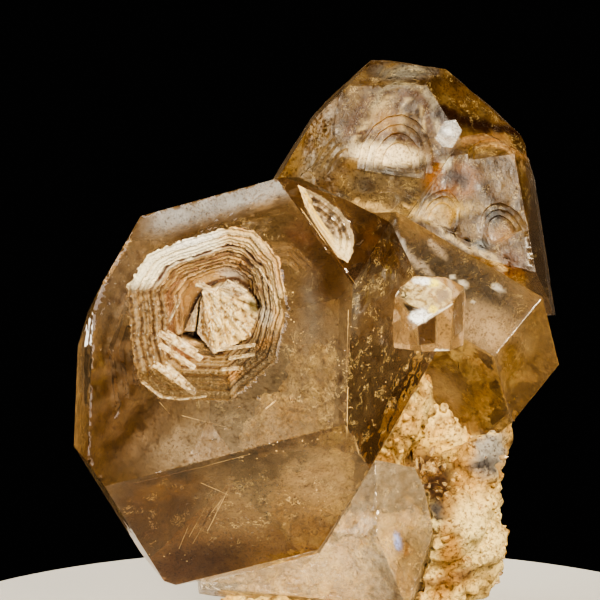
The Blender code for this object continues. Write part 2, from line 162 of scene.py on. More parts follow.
class Finish:
    """A material and the nodes that it is made of."""

    def __init__(self, name):
        self.material = bpy.data.materials.new(name)
        self.material.use_nodes = True
        self.tree = self.material.node_tree
        self.tree.nodes.clear()
        self.output = self.tree.nodes.new("ShaderNodeOutputMaterial")
        place = self.node("ShaderNodeTexCoord").outputs["Object"]
        # Object coordinates in millimetres
        scaled = {"Vector": place, "Scale": (1 / MM, 1 / MM, 1 / MM)}
        self.place = self.node("ShaderNodeMapping", None, scaled).outputs[0]

    def node(self, kind, settings=None, sockets=None):
        """Adds a node. Its settings are set first, then its sockets get values or links."""
        made = self.tree.nodes.new(kind)
        for name, value in (settings or {}).items():
            setattr(made, name, value)
        for name, value in (sockets or {}).items():
            socket = made.inputs[name]
            if isinstance(value, Field):
                value = value.socket
            if isinstance(value, bpy.types.NodeSocket):
                self.tree.links.new(value, socket)
            else:
                socket.default_value = value
        return made

    def field(self, kind, output, settings=None, sockets=None):
        return Field(self, self.node(kind, settings, sockets).outputs[output])

    def layer(self, name):
        """A number laid on the points of the piece."""
        return self.field("ShaderNodeAttribute", "Fac", {"attribute_name": name})

    def colour_layer(self, name):
        return self.node("ShaderNodeAttribute", {"attribute_name": name}).outputs["Color"]

    def noise(self, size, detail=3.0, rough=0.55, twist=0.0):
        """Soft noise from 0 to 1 with lumps of about that size in millimetres."""
        return self.field(
            "ShaderNodeTexNoise", "Fac", {"noise_dimensions": "3D"},
            {
                "Vector": self.place, "Scale": 1 / size, "Detail": detail, "Roughness": rough,
                "Distortion": twist,
            },
        )

    def cells(self, size):
        """How far it is to the middle of the nearest of many cells of about that size."""
        sockets = {"Vector": self.place, "Scale": 1 / size}
        return self.field("ShaderNodeTexVoronoi", "Distance", None, sockets)

    def blend(self, low, high, share, kind="MIX"):
        """Goes from one colour to another as share goes from 0 to 1."""
        made = self.node("ShaderNodeMix", {"data_type": "RGBA", "blend_type": kind}, {"Factor": share})
        for slot, value in (("A", low), ("B", high)):
            socket = next(i for i in made.inputs if i.name == slot and i.type == "RGBA")
            if isinstance(value, bpy.types.NodeSocket):
                self.tree.links.new(value, socket)
            else:
                socket.default_value = (*value, 1)
        return next(o for o in made.outputs if o.type == "RGBA")

    def bump(self, height, distance):
        """Relief whose height field, from 0 to 1, is distance millimetres deep."""
        return self.node(
            "ShaderNodeBump", None, {"Height": height, "Distance": distance * MM, "Strength": 1.0}
        ).outputs["Normal"]

    def principled(self, **given):
        """A Principled shader, whose sockets are named here in small letters."""
        sockets = {}
        for name, value in given.items():
            name = name.replace("_", " ").title().replace("Ior", "IOR")
            sockets[name] = (*value, 1) if isinstance(value, tuple) else value
        return self.node("ShaderNodeBsdfPrincipled", None, sockets).outputs["BSDF"]

    def mix_shaders(self, first, second, share):
        return self.node("ShaderNodeMixShader", None, {0: share, 1: first, 2: second}).outputs[0]

    def lets_lamps_through(self, shader, tint):
        """Rays from lamps pass the surface straight, so that they light what is inside it."""
        path = self.node("ShaderNodeLightPath").outputs["Is Shadow Ray"]
        clear = self.node("ShaderNodeBsdfTransparent", None, {"Color": (*tint, 1)}).outputs[0]
        return self.mix_shaders(shader, clear, path)

    def absorb(self, colour, density):
        """Makes the inside of a piece leave that colour of the light, the more the deeper it is."""
        sockets = {"Color": (*colour, 1), "Density": density}
        inside = self.node("ShaderNodeVolumeAbsorption", None, sockets)
        self.tree.links.new(inside.outputs[0], self.output.inputs["Volume"])

    def finish_with(self, surface):
        self.tree.links.new(surface, self.output.inputs["Surface"])
        return self.material


def paint(red, green, blue):
    """A colour as a screen shows it, from 0 to 255, made linear."""
    def linear(part):
        part /= 255
        return part / 12.92 if part <= 0.04045 else ((part + 0.055) / 1.055) ** 2.4

    return tuple(linear(part) for part in (red, green, blue))


IVORY = paint(250, 242, 222)
CREAM = paint(236, 212, 168)
TAN = paint(206, 168, 118)
OCHRE = paint(206, 150, 84)
AMBER = paint(168, 106, 44)
BROWN = paint(122, 80, 40)
UMBER = paint(74, 42, 20)
SOOT = paint(34, 20, 12)
GREY = paint(166, 156, 140)
SLATE = paint(128, 132, 140)
SILVER = paint(214, 214, 210)

# How the main crystal lies: its long c axis, and the a axis that its face m0 looks along
MAIN_C_AXIS = Vector((-0.342, -0.592, 0.730)).normalized()
MAIN_A_AXIS = Vector((0.023, -0.781, -0.624)).normalized()
PYRAMID_LEAN = math.radians(51.79)

HOPPER_MIDDLE = (-12.3, -23.4, 40.7)
TEARDROP_MIDDLE = (0.5, -24.9, 50.3)

# The way of the edge between the faces m0 and u0
EDGE_WAY = MAIN_C_AXIS.cross(MAIN_A_AXIS)


def quartz_face(name):
    """The way a face of the main crystal looks: m for prism, u for upper pyramid, 0 to 5."""
    turn = math.radians(60 * int(name[1]))
    outward = MAIN_A_AXIS * math.cos(turn) + EDGE_WAY * math.sin(turn)
    if name[0] == "u":
        outward = outward * math.sin(PYRAMID_LEAN) + MAIN_C_AXIS * math.cos(PYRAMID_LEAN)
    return outward.normalized()


def face_axes(face, middle):
    """Axes on a face of the main crystal, with Z out of it and X as near as can be to EDGE_WAY."""
    outward = quartz_face(face)
    reach = max(v.co.dot(outward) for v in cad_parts["main_crystal"].data.vertices)
    point = Vector(middle) * MM
    point += outward * (reach - point.dot(outward))
    x = (EDGE_WAY - outward * EDGE_WAY.dot(outward)).normalized()
    y = outward.cross(x)
    return Matrix.Translation(point) @ Matrix((x, y, outward)).transposed().to_4x4()


HOPPER_AXES = face_axes("u0", HOPPER_MIDDLE)
TEARDROP_AXES = face_axes("u1", TEARDROP_MIDDLE)


def select_only(piece):
    for other in bpy.context.selected_objects:
        other.select_set(False)
    bpy.context.view_layer.objects.active = piece
    piece.select_set(True)


def apply_all(piece):
    select_only(piece)
    for modifier in list(piece.modifiers):
        bpy.ops.object.modifier_apply(modifier=modifier.name)


def smooth_below(piece, degrees):
    """Shades a piece smooth, apart from edges that turn by more than that."""
    select_only(piece)
    bpy.ops.object.shade_smooth_by_angle(angle=math.radians(degrees))


def bevel_box(size, share):
    """A box in the middle of the scene whose edges are cut off by a share of its shortest side."""
    bpy.ops.mesh.primitive_cube_add(size=1)
    piece = bpy.context.object
    piece.scale = size
    bpy.ops.object.transform_apply(location=False, rotation=False, scale=True)
    bpy.ops.object.mode_set(mode="EDIT")
    bpy.ops.mesh.select_all(action="SELECT")
    bpy.ops.mesh.bevel(offset=min(size) * share, segments=1)
    bpy.ops.object.mode_set(mode="OBJECT")
    return piece


def copied(pattern):
    """A copy of a piece with a mesh of its own."""
    piece = pattern.copy()
    piece.data = pattern.data.copy()
    bpy.context.scene.collection.objects.link(piece)
    return piece


def settle(piece, finish, slot, *replaced):
    """Gives a piece its finish, puts its place in its mesh and hides the nodes it replaces."""
    select_only(piece)
    bpy.ops.object.transform_apply(location=True, rotation=True, scale=True)
    piece.data.materials.clear()
    piece.data.materials.append(finish)
    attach(piece, "root")
    if replaced:
        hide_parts(*replaced)


def copy_of_node(node, name):
    """A copy of a node's mesh with its loose triangles merged into whole faces."""
    piece = copied(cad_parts[node])
    piece.name = name
    piece.data.name = name
    piece.parent = None
    select_only(piece)
    bpy.ops.object.mode_set(mode="EDIT")
    bpy.ops.mesh.select_all(action="SELECT")
    bpy.ops.mesh.remove_doubles(threshold=MERGE_WITHIN)
    bpy.ops.mesh.dissolve_limited(angle_limit=FLAT_WITHIN)
    bpy.ops.object.mode_set(mode="OBJECT")
    return piece


def soften_edges(piece, width):
    bevel = piece.modifiers.new("worn_edges", "BEVEL")
    bevel.width = width * MM
    bevel.segments = 2
    bevel.limit_method = "ANGLE"
    bevel.angle_limit = SHARP_FROM
    apply_all(piece)


def refine(piece, longest):
    """Splits edges until almost none is longer than that many millimetres."""
    select_only(piece)
    mesh = piece.data
    bpy.ops.object.mode_set(mode="EDIT")
    bpy.ops.mesh.select_mode(type="EDGE")
    bpy.ops.mesh.select_all(action="SELECT")
    bpy.ops.mesh.quads_convert_to_tris()
    bpy.ops.object.mode_set(mode="OBJECT")
    for _ in range(MOST_SPLITS):
        points = read_points(mesh)
        ends = np.empty(len(mesh.edges) * 2, int)
        mesh.edges.foreach_get("vertices", ends)
        ends = ends.reshape(-1, 2)
        long = np.linalg.norm(points[ends[:, 0]] - points[ends[:, 1]], axis=1) > longest
        if not long.any():
            break
        select_edges(mesh, long)
        bpy.ops.object.mode_set(mode="EDIT")
        bpy.ops.mesh.subdivide(number_cuts=1)
        bpy.ops.mesh.select_all(action="SELECT")
        bpy.ops.mesh.quads_convert_to_tris()
        bpy.ops.object.mode_set(mode="OBJECT")


def select_edges(mesh, wanted):
    mesh.vertices.foreach_set("select", np.zeros(len(mesh.vertices), bool))
    mesh.polygons.foreach_set("select", np.zeros(len(mesh.polygons), bool))
    mesh.edges.foreach_set("select", wanted)


def read_points(mesh, what="co"):
    """The places of a mesh's points in millimetres, or their normals."""
    flat = np.empty(len(mesh.vertices) * 3)
    mesh.vertices.foreach_get(what, flat)
    return flat.reshape(-1, 3) / (MM if what == "co" else 1)


def write_points(mesh, points):
    mesh.vertices.foreach_set("co", (points * MM).ravel())
    mesh.update()


def soft_step(value, low, high):
    share = np.clip((value - low) / (high - low), 0, 1)
    return share * share * (3 - 2 * share)


def noise_at(points, size, seed=0.0, octaves=3):
    """Noise of about -1 to 1 at many points, given in millimetres."""
    return np.array([
        noise.fractal((x / size, y / size, z / size + seed), NOISE_FALL, NOISE_STEP, octaves)
        for x, y, z in points
    ])


def flat_noise(x, y, size, seed=0.0, octaves=2):
    points = np.column_stack((x.ravel(), y.ravel(), np.zeros(x.size)))
    return noise_at(points, size, seed, octaves).reshape(x.shape)


def on_line(x, y, start, end, width, soft):
    """1 along a straight line of that width, 0 beside it."""
    ax, ay = start
    bx, by = end
    length_squared = (bx - ax) ** 2 + (by - ay) ** 2
    along = np.clip(((x - ax) * (bx - ax) + (y - ay) * (by - ay)) / length_squared, 0, 1)
    off = np.hypot(x - ax - along * (bx - ax), y - ay - along * (by - ay))
    return 1 - soft_step(off, width / 2 * (1 - soft), width / 2 * (1 + soft))


def in_spot(x, y, middle, reach, turn, soft):
    """1 inside an ellipse, 0 outside, with a rim that is soft by a share of its size."""
    cosine = math.cos(math.radians(turn))
    sine = math.sin(math.radians(turn))
    across = ((x - middle[0]) * cosine + (y - middle[1]) * sine) / reach[0]
    along = ((y - middle[1]) * cosine - (x - middle[0]) * sine) / reach[1]
    return 1 - soft_step(np.hypot(across, along), 1 - soft, 1 + soft)


class Skin:
    """What is laid on the points of a piece: colour, glass tint, etching, sparkle and veins.

    Places on it are given in the camera's square picture, which fixes where they lie on the
    faces that look at the camera.
    """

    def __init__(self, piece, colour, frost):
        self.mesh = piece.data
        self.points = read_points(self.mesh)
        self.outward = read_points(self.mesh, "normal")
        count = len(self.points)
        self.colour = np.tile(np.array(colour), (count, 1))
        self.tint = np.ones((count, 3))
        self.frost = np.full(count, float(frost))
        self.spark = np.zeros(count)
        self.veins = np.zeros(count)
        self.all = np.ones(count)
        off = self.points - np.array(CAMERA_TARGET)
        up = off[:, 2] * math.cos(CAMERA_RISE) + off[:, 1] * math.sin(CAMERA_RISE)
        nearer = off[:, 2] * math.sin(CAMERA_RISE) - off[:, 1] * math.cos(CAMERA_RISE)
        scale = PICTURE * CAMERA_LENS / SENSOR / (CAMERA_AWAY - nearer)
        self.x = PICTURE / 2 + off[:, 0] * scale
        self.y = PICTURE / 2 - up * scale
        level = -self.outward[:, 1]
        self.front = soft_step(
            self.outward[:, 2] * math.sin(CAMERA_RISE) + level * math.cos(CAMERA_RISE), *FACING
        )

    def looking(self, outward):
        """1 on the faces that look that way."""
        return soft_step(self.outward @ np.array(outward), *LOOKING)

    def noise(self, size, seed=0.0, octaves=3):
        return noise_at(self.points, size, seed, octaves)

    def spot(self, place, reach, turn, soft, ragged=0):
        """1 inside an ellipse in the picture, whose rim strays by ragged."""
        return self.front * in_spot(self.x + ragged, self.y + ragged, place, reach, turn, soft)

    def path(self, corners, width, soft, ragged=0):
        """1 along a bent line in the picture, which strays by ragged."""
        share = np.zeros(len(self.points))
        for start, end in zip(corners, corners[1:]):
            line = on_line(self.x + ragged, self.y - ragged, start, end, width, soft)
            share = np.maximum(share, self.front * line)
        return share

    def patch(self, corners):
        """1 inside an outline that bulges everywhere, whose corners run anticlockwise as seen."""
        turned = [(x, -y) for x, y in reversed(corners)]
        return self.front * within(self.x, -self.y, turned, PATCH_RIM)

    def lay(self, share, colour=None, frost=None, tint=None, spark=None, veins=None):
        """Moves colour, etching, tint, sparkle and veins towards the given ones by share."""
        share = np.clip(share, 0, 1)
        if colour is not None:
            self.colour += (np.array(colour) - self.colour) * share[:, None]
        if tint is not None:
            self.tint += (np.array(tint) - self.tint) * share[:, None]
        if frost is not None:
            self.frost += (frost - self.frost) * share
        if spark is not None:
            self.spark += (spark - self.spark) * share
        if veins is not None:
            self.veins += (veins - self.veins) * share

    def lay_marks(self, marks, ragged=0, area=1.0):
        """Lays spots and paths over one another, within an area.

        A mark has its place and reach, or the corners of its path and its width, and then its
        turn in degrees, its softness, the share of ragged that its rim strays by, its strength
        and what lay takes.
        """
        for places, reach, turn, soft, stray, strength, *laid in marks:
            if isinstance(reach, tuple):
                share = self.spot(places, reach, turn, soft, ragged * stray)
            else:
                share = self.path(places, reach, soft, ragged * stray)
            self.lay(area * share * strength, *laid)

    def press(self, depth):
        """Sinks the points into the piece by that many millimetres."""
        self.points = self.points - self.outward * depth[:, None]
        write_points(self.mesh, self.points)

    def write(self):
        """Stores all that is laid as attributes, which the finishes read."""
        grey = self.tint.mean(axis=1, keepdims=True)
        lay_colour(self.mesh, "skin", self.colour)
        lay_colour(self.mesh, "tint", self.tint + (grey - self.tint) * TINT_GREYING)
        for name, values in (("frost", self.frost), ("spark", self.spark), ("veins", self.veins)):
            lay_number(self.mesh, name, values)


def lay_number(mesh, name, values):
    layer = mesh.attributes.new(name, "FLOAT", "POINT")
    layer.data.foreach_set("value", np.clip(values, 0, MOST_LAID).ravel().astype(np.float32))


def lay_colour(mesh, name, values):
    layer = mesh.attributes.new(name, "FLOAT_COLOR", "POINT")
    whole = np.ones((len(values), 4), np.float32)
    whole[:, :3] = np.clip(values, 0, 1)
    layer.data.foreach_set("color", whole.ravel())


def quartz_finish(name, colour, density, etching, polish=0.02, swell=0.03):
    """See-through quartz, with what is laid on a piece; etching is how much of it shows."""
    f = Finish(name)
    frost = f.layer("frost") * etching
    veined = f.layer("veins")
    fine = f.noise(0.32, 4, 0.7)
    coarse = f.noise(1.5, 4, 0.62)
    relief = f.bump(f.noise(2.6, 2) + 0.12 * coarse, swell)
    glass = f.principled(
        base_color=f.colour_layer("tint"), roughness=polish, ior=QUARTZ_IOR,
        transmission_weight=1.0, normal=relief,
    )
    # Fine dark cracks and gold threads, which fade in and out along their way
    cracks = f.noise(3.2, 5, 0.72, 1.6).contour(0.022, 0.003)
    cracks = cracks * f.noise(2.2, 2).rise(0.42, 0.6) * veined
    threads = f.noise(1.9, 4, 0.7, 2.2).contour(0.018, 0.002)
    threads = threads * f.noise(1.6, 2).rise(0.5, 0.62) * veined
    # Glints are painted highlights: ivory specks, smoother than the etching, where the spark layer asks
    # for them
    glints = fine.rise(0.62, 0.66) * f.layer("spark")
    skin = f.blend(f.colour_layer("skin"), paint(120, 96, 70), fine.rise(0.48, 0.64) * 0.7, "MULTIPLY")
    skin = f.blend(skin, UMBER, cracks)
    skin = f.blend(skin, paint(244, 214, 150), threads)
    skin = f.blend(skin, IVORY, glints)
    etched = f.principled(base_color=skin, roughness=0.38 - 0.2 * glints, normal=f.bump(fine, 0.06))
    share = frost * (0.35 + 1.3 * coarse) + frost * (fine - 0.5)
    share = share.at_least(glints).at_least(cracks * 0.8).at_least(threads).at_most(1)
    surface = f.mix_shaders(glass, etched, share)
    f.absorb(colour, density)
    return f.finish_with(f.lets_lamps_through(surface, LAMP_SHARE))


def crust_finish():
    """Tan crust of the stepped hollows, open where it is worn through to the quartz."""
    f = Finish("hollow_crust_finish")
    grain = f.noise(0.22, 4, 0.68)
    skin = f.blend(f.colour_layer("skin"), paint(96, 60, 32), grain.rise(0.50, 0.66) * 0.5, "MULTIPLY")
    # Painted highlights: ivory specks on the grain, with a smoother finish
    glints = grain.rise(0.63, 0.67) * 0.8
    covered = (f.layer("bare") + 0.5 * (grain - 0.5)).rise(0.62, 0.42)
    crust = f.principled(
        base_color=f.blend(skin, IVORY, glints), roughness=0.6 - 0.4 * glints,
        normal=f.bump(grain, 0.10), alpha=covered,
    )
    return f.finish_with(crust)


def druse_finish():
    """Granular tan matrix, where grains that catch the light are pale."""
    f = Finish("tan_druse_finish")
    grain = f.noise(0.45, 5, 0.7)
    cells = f.cells(0.55)
    skin = f.blend(f.colour_layer("skin"), paint(110, 74, 40), grain.rise(0.50, 0.64) * 0.75, "MULTIPLY")
    skin = f.blend(skin, paint(120, 84, 52), cells.rise(0.5, 0.8) * 0.3, "MULTIPLY")
    glints = grain.rise(0.36, 0.32) * f.layer("spark")
    rock = f.principled(
        base_color=f.blend(skin, IVORY, glints), roughness=0.75 - 0.5 * glints,
        normal=f.bump(grain - 0.2 * cells, 0.26),
    )
    return f.finish_with(rock)


def floor_finish():
    f = Finish("pale_floor")
    return f.finish_with(f.principled(base_color=paint(176, 173, 167), roughness=FLOOR_ROUGH))


# Marks on the crystals, in the order in which they are laid; lay_marks says what each holds
MAIN_LARGE_MARKS = (
    # Silver on the band by the top edge: painted sheen
    ((258, 190), (26, 10), -17, 0.6, 0, 1, SILVER, 0.9, None, 0.5),
    ((114, 415), (60, 90), 14, 0.5, 0, 1, BROWN, 0.20, (0.56, 0.46, 0.30)),
    # Pale diagonal streaks on the left: painted light, as if refracted from the back edges
    ((108, 398), (44, 6), -50, 0.7, 1, 0.8, paint(158, 120, 76), 0.8),
    ((126, 412), (44, 7), -50, 0.7, 1, 0.8, paint(158, 120, 76), 0.8),
    ((112, 360), (44, 4), -50, 0.7, 1, 0.8, paint(158, 120, 76), 0.8),
    ((146, 430), (44, 8), -50, 0.7, 1, 0.8, paint(158, 120, 76), 0.8),
    ((132, 380), (44, 5), -50, 0.7, 1, 0.8, paint(158, 120, 76), 0.8),
    # A pale glow low in the middle: painted light
    ((238, 440), (96, 34), -13, 0.6, 1, 1, paint(208, 182, 146), 1.0),
    ((320, 350), (34, 92), 0, 0.7, 1, 1, paint(146, 120, 86), 0.9, (0.78, 0.72, 0.62)),
    ((315, 290), (10, 50), 8, 0.9, 1, 0.7, GREY, 0.55, None, 0.4),
    ((318, 240), (34, 26), 20, 0.7, 1, 1, BROWN, 0.45, (0.85, 0.75, 0.60)),
    ((300, 235), (14, 8), 30, 0.8, 1, 1, paint(150, 96, 60), 0.55),
    ((332, 272), (16, 34), 0, 0.6, 1, 1, BROWN, 0.30, (0.72, 0.60, 0.38)),
    # A broad pale haze over the lower right of the face: painted glow
    ((262, 395), (92, 60), -10, 0.6, 1, 0.8, paint(166, 143, 110), 0.8),
    ((222, 312), (112, 116), 0, 0.25, 0, 1, None, None, None, None, 0.55),
    ((320, 380), (34, 50), 0, 0.6, 1, 1, None, None, None, None, 0.9),
)
MAIN_LOWER_MARKS = (
    ((270, 505), (75, 40), -20, 0.5, 1, 1, None, None, None, None, 1.0),
    ((150, 515), (58, 34), -20, 0.5, 1, 1, AMBER, 0.20, (0.30, 0.20, 0.06), None, 0.7),
    ((182, 488), (16, 7), 0, 0.6, 1, 1, UMBER, 0.9),
    ((165, 492), (34, 10), -16, 0.6, 1, 1, paint(190, 130, 60), 0.55),
    ((240, 505), (40, 34), -20, 0.8, 1, 1, paint(196, 164, 118), 0.85, None, 0.6),
    # The glow on the right: painted light
    ((318, 480), (44, 32), 0, 0.7, 0, 1, paint(212, 178, 130), 1.0),
    ((190, 566), (60, 22), -12, 0.6, 1, 1, UMBER, 0.30, (0.12, 0.06, 0.02)),
    ((330, 540), (40, 14), -30, 0.7, 1, 1, BROWN, 0.2, (0.45, 0.28, 0.12)),
)
MAIN_RIGHT_MARKS = (
    ((352, 300), (8, 30), 0, 0.7, 0, 1, GREY, 0.5),
    ((386, 425), (14, 60), 32, 0.8, 0, 1, BROWN, 0.3, (0.66, 0.50, 0.30)),
    ((352, 452), (7, 22), -25, 0.5, 1, 1, paint(214, 180, 138), 0.8),
)
MAIN_UPPER_MARKS = (
    ((377, 240), (27, 40), -10, 0.5, 1, 1, UMBER, 0.25, (0.34, 0.22, 0.09)),
    ((370, 238), (6, 22), 30, 0.8, 1, 0.6, AMBER, 0.5),
)
RIGHT_MARKS = (
    ((455, 280), (80, 34), 33, 0.5, 0, 1, paint(72, 59, 42), 1.6, (0.60, 0.54, 0.44)),
    ((488, 332), (36, 20), 30, 0.7, 0, 1, paint(210, 180, 140), 0.95),
    ((420, 228), (26, 5), 33, 0.7, 0, 1, paint(150, 122, 86), 0.5),
    # A silver strip down the bevel of the left edge: painted reflection
    (((394, 220), (399, 238), (406, 262)), 4.2, 0, 0.5, 1, 1, SILVER, 0.95, None, 0.6),
    ((409, 256), (8, 2.2), 60, 0.7, 1, 1, paint(206, 190, 168), 0.8),
    ((416, 262), (8, 2.2), 55, 0.7, 1, 1, paint(206, 190, 168), 0.8),
    ((425, 268), (8, 2.2), 50, 0.7, 1, 1, paint(206, 190, 168), 0.8),
    ((434, 246), (8, 2.2), 60, 0.7, 1, 1, paint(206, 190, 168), 0.8),
    ((441, 252), (8, 2.2), 55, 0.7, 1, 1, paint(206, 190, 168), 0.8),
)
# Small white growths on the right crystal: place in the picture and half of the width
RIGHT_BEADS = (
    (454, 277, 3.2), (462, 284, 3.8), (459, 290, 3.6), (497, 287, 5.0), (500, 291, 3.4),
    (472, 302, 1.5),
)
RIGHT_SHADE_MARKS = (
    ((468, 384), (34, 20), 20, 0.5, 1, 1, paint(96, 66, 36), 0.9, (0.48, 0.34, 0.20)),
)
RIGHT_LOW_MARKS = (
    ((486, 404), (20, 16), -30, 0.6, 1, 1, paint(160, 124, 72), 1.1),
    ((463, 436), (22, 16), -30, 0.6, 1, 1, paint(208, 170, 116), 0.55),
    ((512, 362), (14, 26), 0, 0.6, 1, 1, paint(136, 104, 60), 1.3, (0.8, 0.66, 0.42)),
)
# The back crystal's crown with the arches in its hollow
BACK_CROWN_MARKS = (
    ((318, 168), (40, 14), -52, 0.6, 1, 0.7, paint(140, 128, 108), 0.8),
    ((405, 72), (28, 8), 0, 0.6, 1, 1, paint(150, 144, 134), 0.9),
    (((346, 136), (360, 110), (384, 90)), 7, 0, 0.6, 1, 1, BROWN, 0.7),
    (((354, 140), (372, 116), (388, 98)), 5, 0, 0.6, 1, 1, CREAM, 0.8),
    (
        ((372, 108), (382, 90), (400, 82), (418, 84), (431, 97), (437, 116), (440, 140)),
        6, 0, 0.6, 0.5, 1, paint(172, 158, 132), 0.9,
    ),
    (
        ((398, 130), (396, 108), (404, 94), (416, 92), (425, 104), (430, 128)),
        5, 0, 0.6, 0, 1, BROWN, 0.7,
    ),
    (
        ((407, 128), (406, 110), (412, 102), (418, 110), (421, 130)),
        4, 0, 0.6, 0, 1, paint(112, 84, 54), 0.7,
    ),
    (((402, 130), (401, 109), (409, 98), (421, 106), (425, 132)), 2.4, 0, 0.6, 0, 1, CREAM, 0.8),
)
BACK_BELOW_ARCHES = (
    ((386, 122), (13, 14), 30, 0.5, 1, 1, paint(196, 156, 98), 0.9),
    (
        ((350, 134), (374, 130), (400, 136), (422, 150), (438, 163)),
        4, 0, 0.6, 1, 1, BROWN, 0.85,
    ),
)
# The trough under the arches, whose pale streak is a painted highlight, then the shoulder from its top
# down
BACK_SHOULDER_MARKS = (
    ((386, 154), (34, 10), 4, 0.45, 0.5, 1, paint(246, 226, 188), 0.95),
    ((385, 187), (46, 22), 6, 0.5, 1, 1, paint(124, 108, 84), 0.85),
    ((366, 186), (12, 6), 20, 0.6, 1, 1, paint(92, 80, 66), 0.8),
    ((412, 196), (6, 11), 20, 0.6, 1, 1, paint(92, 80, 66), 0.8),
    ((346, 200), (9, 5), 20, 0.6, 1, 1, paint(92, 80, 66), 0.8),
    ((392, 174), (9, 4), 20, 0.6, 1, 1, paint(92, 80, 66), 0.8),
    ((375, 208), (24, 4), 12, 0.6, 1, 1, CREAM, 0.9),
    (((446, 90), (482, 106), (510, 128)), 12, 0, 0.5, 1, 1, paint(140, 106, 62), 0.8),
    (((440, 112), (470, 124), (516, 134)), 11, 0, 0.5, 1, 1, UMBER, 0.7, (0.3, 0.2, 0.1)),
    (((462, 142), (490, 138), (526, 156)), 8, 0, 0.5, 1, 1, paint(190, 146, 98), 0.9),
    (((476, 148), (505, 146), (524, 170)), 4, 0, 0.6, 1, 1, paint(206, 172, 130), 0.9),
    ((453, 180), (26, 17), 0, 0.4, 1, 1, paint(176, 118, 60), 0.8),
    ((455, 178), (15, 9), 0, 0.5, 1, 1, UMBER, 0.85),
    ((447, 163), (6, 5), 0, 0.5, 0, 1, IVORY, 0.95),
    ((442, 211), (34, 9), -6, 0.5, 1, 1, paint(238, 208, 140), 0.9),
    ((450, 214), (7, 5), 0, 0.5, 0, 1, paint(220, 180, 100), 0.95),
    ((493, 216), (9, 7), 0, 0.5, 1, 1, SOOT, 0.9),
    ((482, 246), (9, 6), 0, 0.5, 1, 1, SLATE, 0.9),
    ((512, 262), (16, 14), 0, 0.5, 1, 1, BROWN, 0.9),
    ((500, 235), (12, 8), 0, 0.5, 1, 1, paint(190, 142, 80), 0.85),
    (((406, 206), (446, 232), (505, 268)), 5, 0, 0.5, 1, 1, CREAM, 0.85),
)
# The trough's painted highlight, laid again after the colours are darkened where the key lamp falls
BACK_TROUGH_PAINTED_HIGHLIGHT = (
    ((386, 154), (34, 10), 4, 0.45, 0.5, 1, paint(236, 214, 170), 1.0),
)
# The blue glint, a painted highlight, is laid under and over the brown patch beside it
LOWER_MARKS = (
    ((330, 566), (60, 14), -14, 0.7, 1, 0.6, paint(224, 206, 176), 0.8),
    ((398, 542), (3.5, 10), -14, 0.5, 0, 1, paint(166, 176, 224), 1.0),
    ((412, 558), (15, 28), -8, 0.5, 1, 1, paint(110, 90, 62), 1.0),
    ((398, 542), (3.5, 10), -14, 0.5, 0, 1, paint(166, 176, 224), 1.6),
)
LOWER_FINE_MARKS = (
    ((407, 550), (5, 7), 0, 0.5, 1, 1, BROWN, 1.4),
    ((398, 578), (3, 34), 6, 0.7, 1, 1, paint(124, 98, 64), 0.8),
    ((410, 578), (4, 34), 6, 0.7, 1, 1, paint(124, 98, 64), 0.8),
    ((423, 578), (3, 34), 6, 0.7, 1, 1, paint(124, 98, 64), 0.8),
)
# Facets of the small crystal, by their corners in the picture, and then what lay takes
SMALL_CROWN = (
    (404, 286), (400, 296), (411, 306), (438, 312), (452, 300), (452, 290), (436, 278), (414, 276),
)
SMALL_WEST = ((384, 318), (387, 342), (418, 346), (410, 318), (399, 299))
# Facet tones are partly the quartz's own colour and partly painted light and shade, as each facet shows
# lit or dark; the white facet low in the middle is a painted reflection
SMALL_UPPER_FACETS = (
    (((436, 290), (438, 304), (450, 298), (448, 290)), paint(156, 140, 118), 0.8),
    (
        ((399, 298), (416, 324), (436, 312), (411, 305)),
        paint(52, 42, 30), 0.7, (0.3, 0.24, 0.16),
    ),
    (((416, 324), (452, 304), (438, 310), (412, 314)), paint(252, 250, 240), 1.1),
    (SMALL_WEST, paint(150, 116, 74), 0.5, (0.62, 0.48, 0.30)),
)
SMALL_LOWER_FACETS = (
    (
        ((417, 325), (419, 346), (436, 344), (436, 314)),
        paint(84, 58, 30), 0.8, (0.34, 0.22, 0.10),
    ),
    (
        ((437, 314), (437, 344), (450, 352), (456, 312), (452, 303)),
        paint(170, 136, 90), 0.6, (0.7, 0.56, 0.38),
    ),
    (
        ((452, 300), (454, 340), (463, 330), (464, 290)),
        paint(118, 90, 54), 0.6, (0.5, 0.38, 0.22),
    ),
)
# White and yellow spots and a white line: painted reflections on the small crystal
SMALL_LIGHTS = (
    ((433, 283), (6, 3.5), 0, 0.4, 1, 1, paint(252, 232, 110), 1.1),
    ((422, 281), (9, 3.6), 0, 0.35, 1, 1, paint(255, 253, 246), 1.1),
    ((433, 310), (5, 4.0), 0, 0.4, 1, 1, paint(250, 226, 110), 1.1),
    ((419, 316), (10, 7), -20, 0.35, 1, 1, paint(255, 254, 248), 1.1),
    (((418, 325), (452, 304)), 1.6, 0, 0.6, 0, 1, IVORY, 1.1),
)
SMALL_RIMS = (
    (((436, 350), (452, 352)), 3, 0, 0.6, 1, 1, IVORY, 1.1),
    (((398, 292), (388, 306), (382, 326)), 1.8, 0, 0.6, 1, 1, IVORY, 1.0),
)


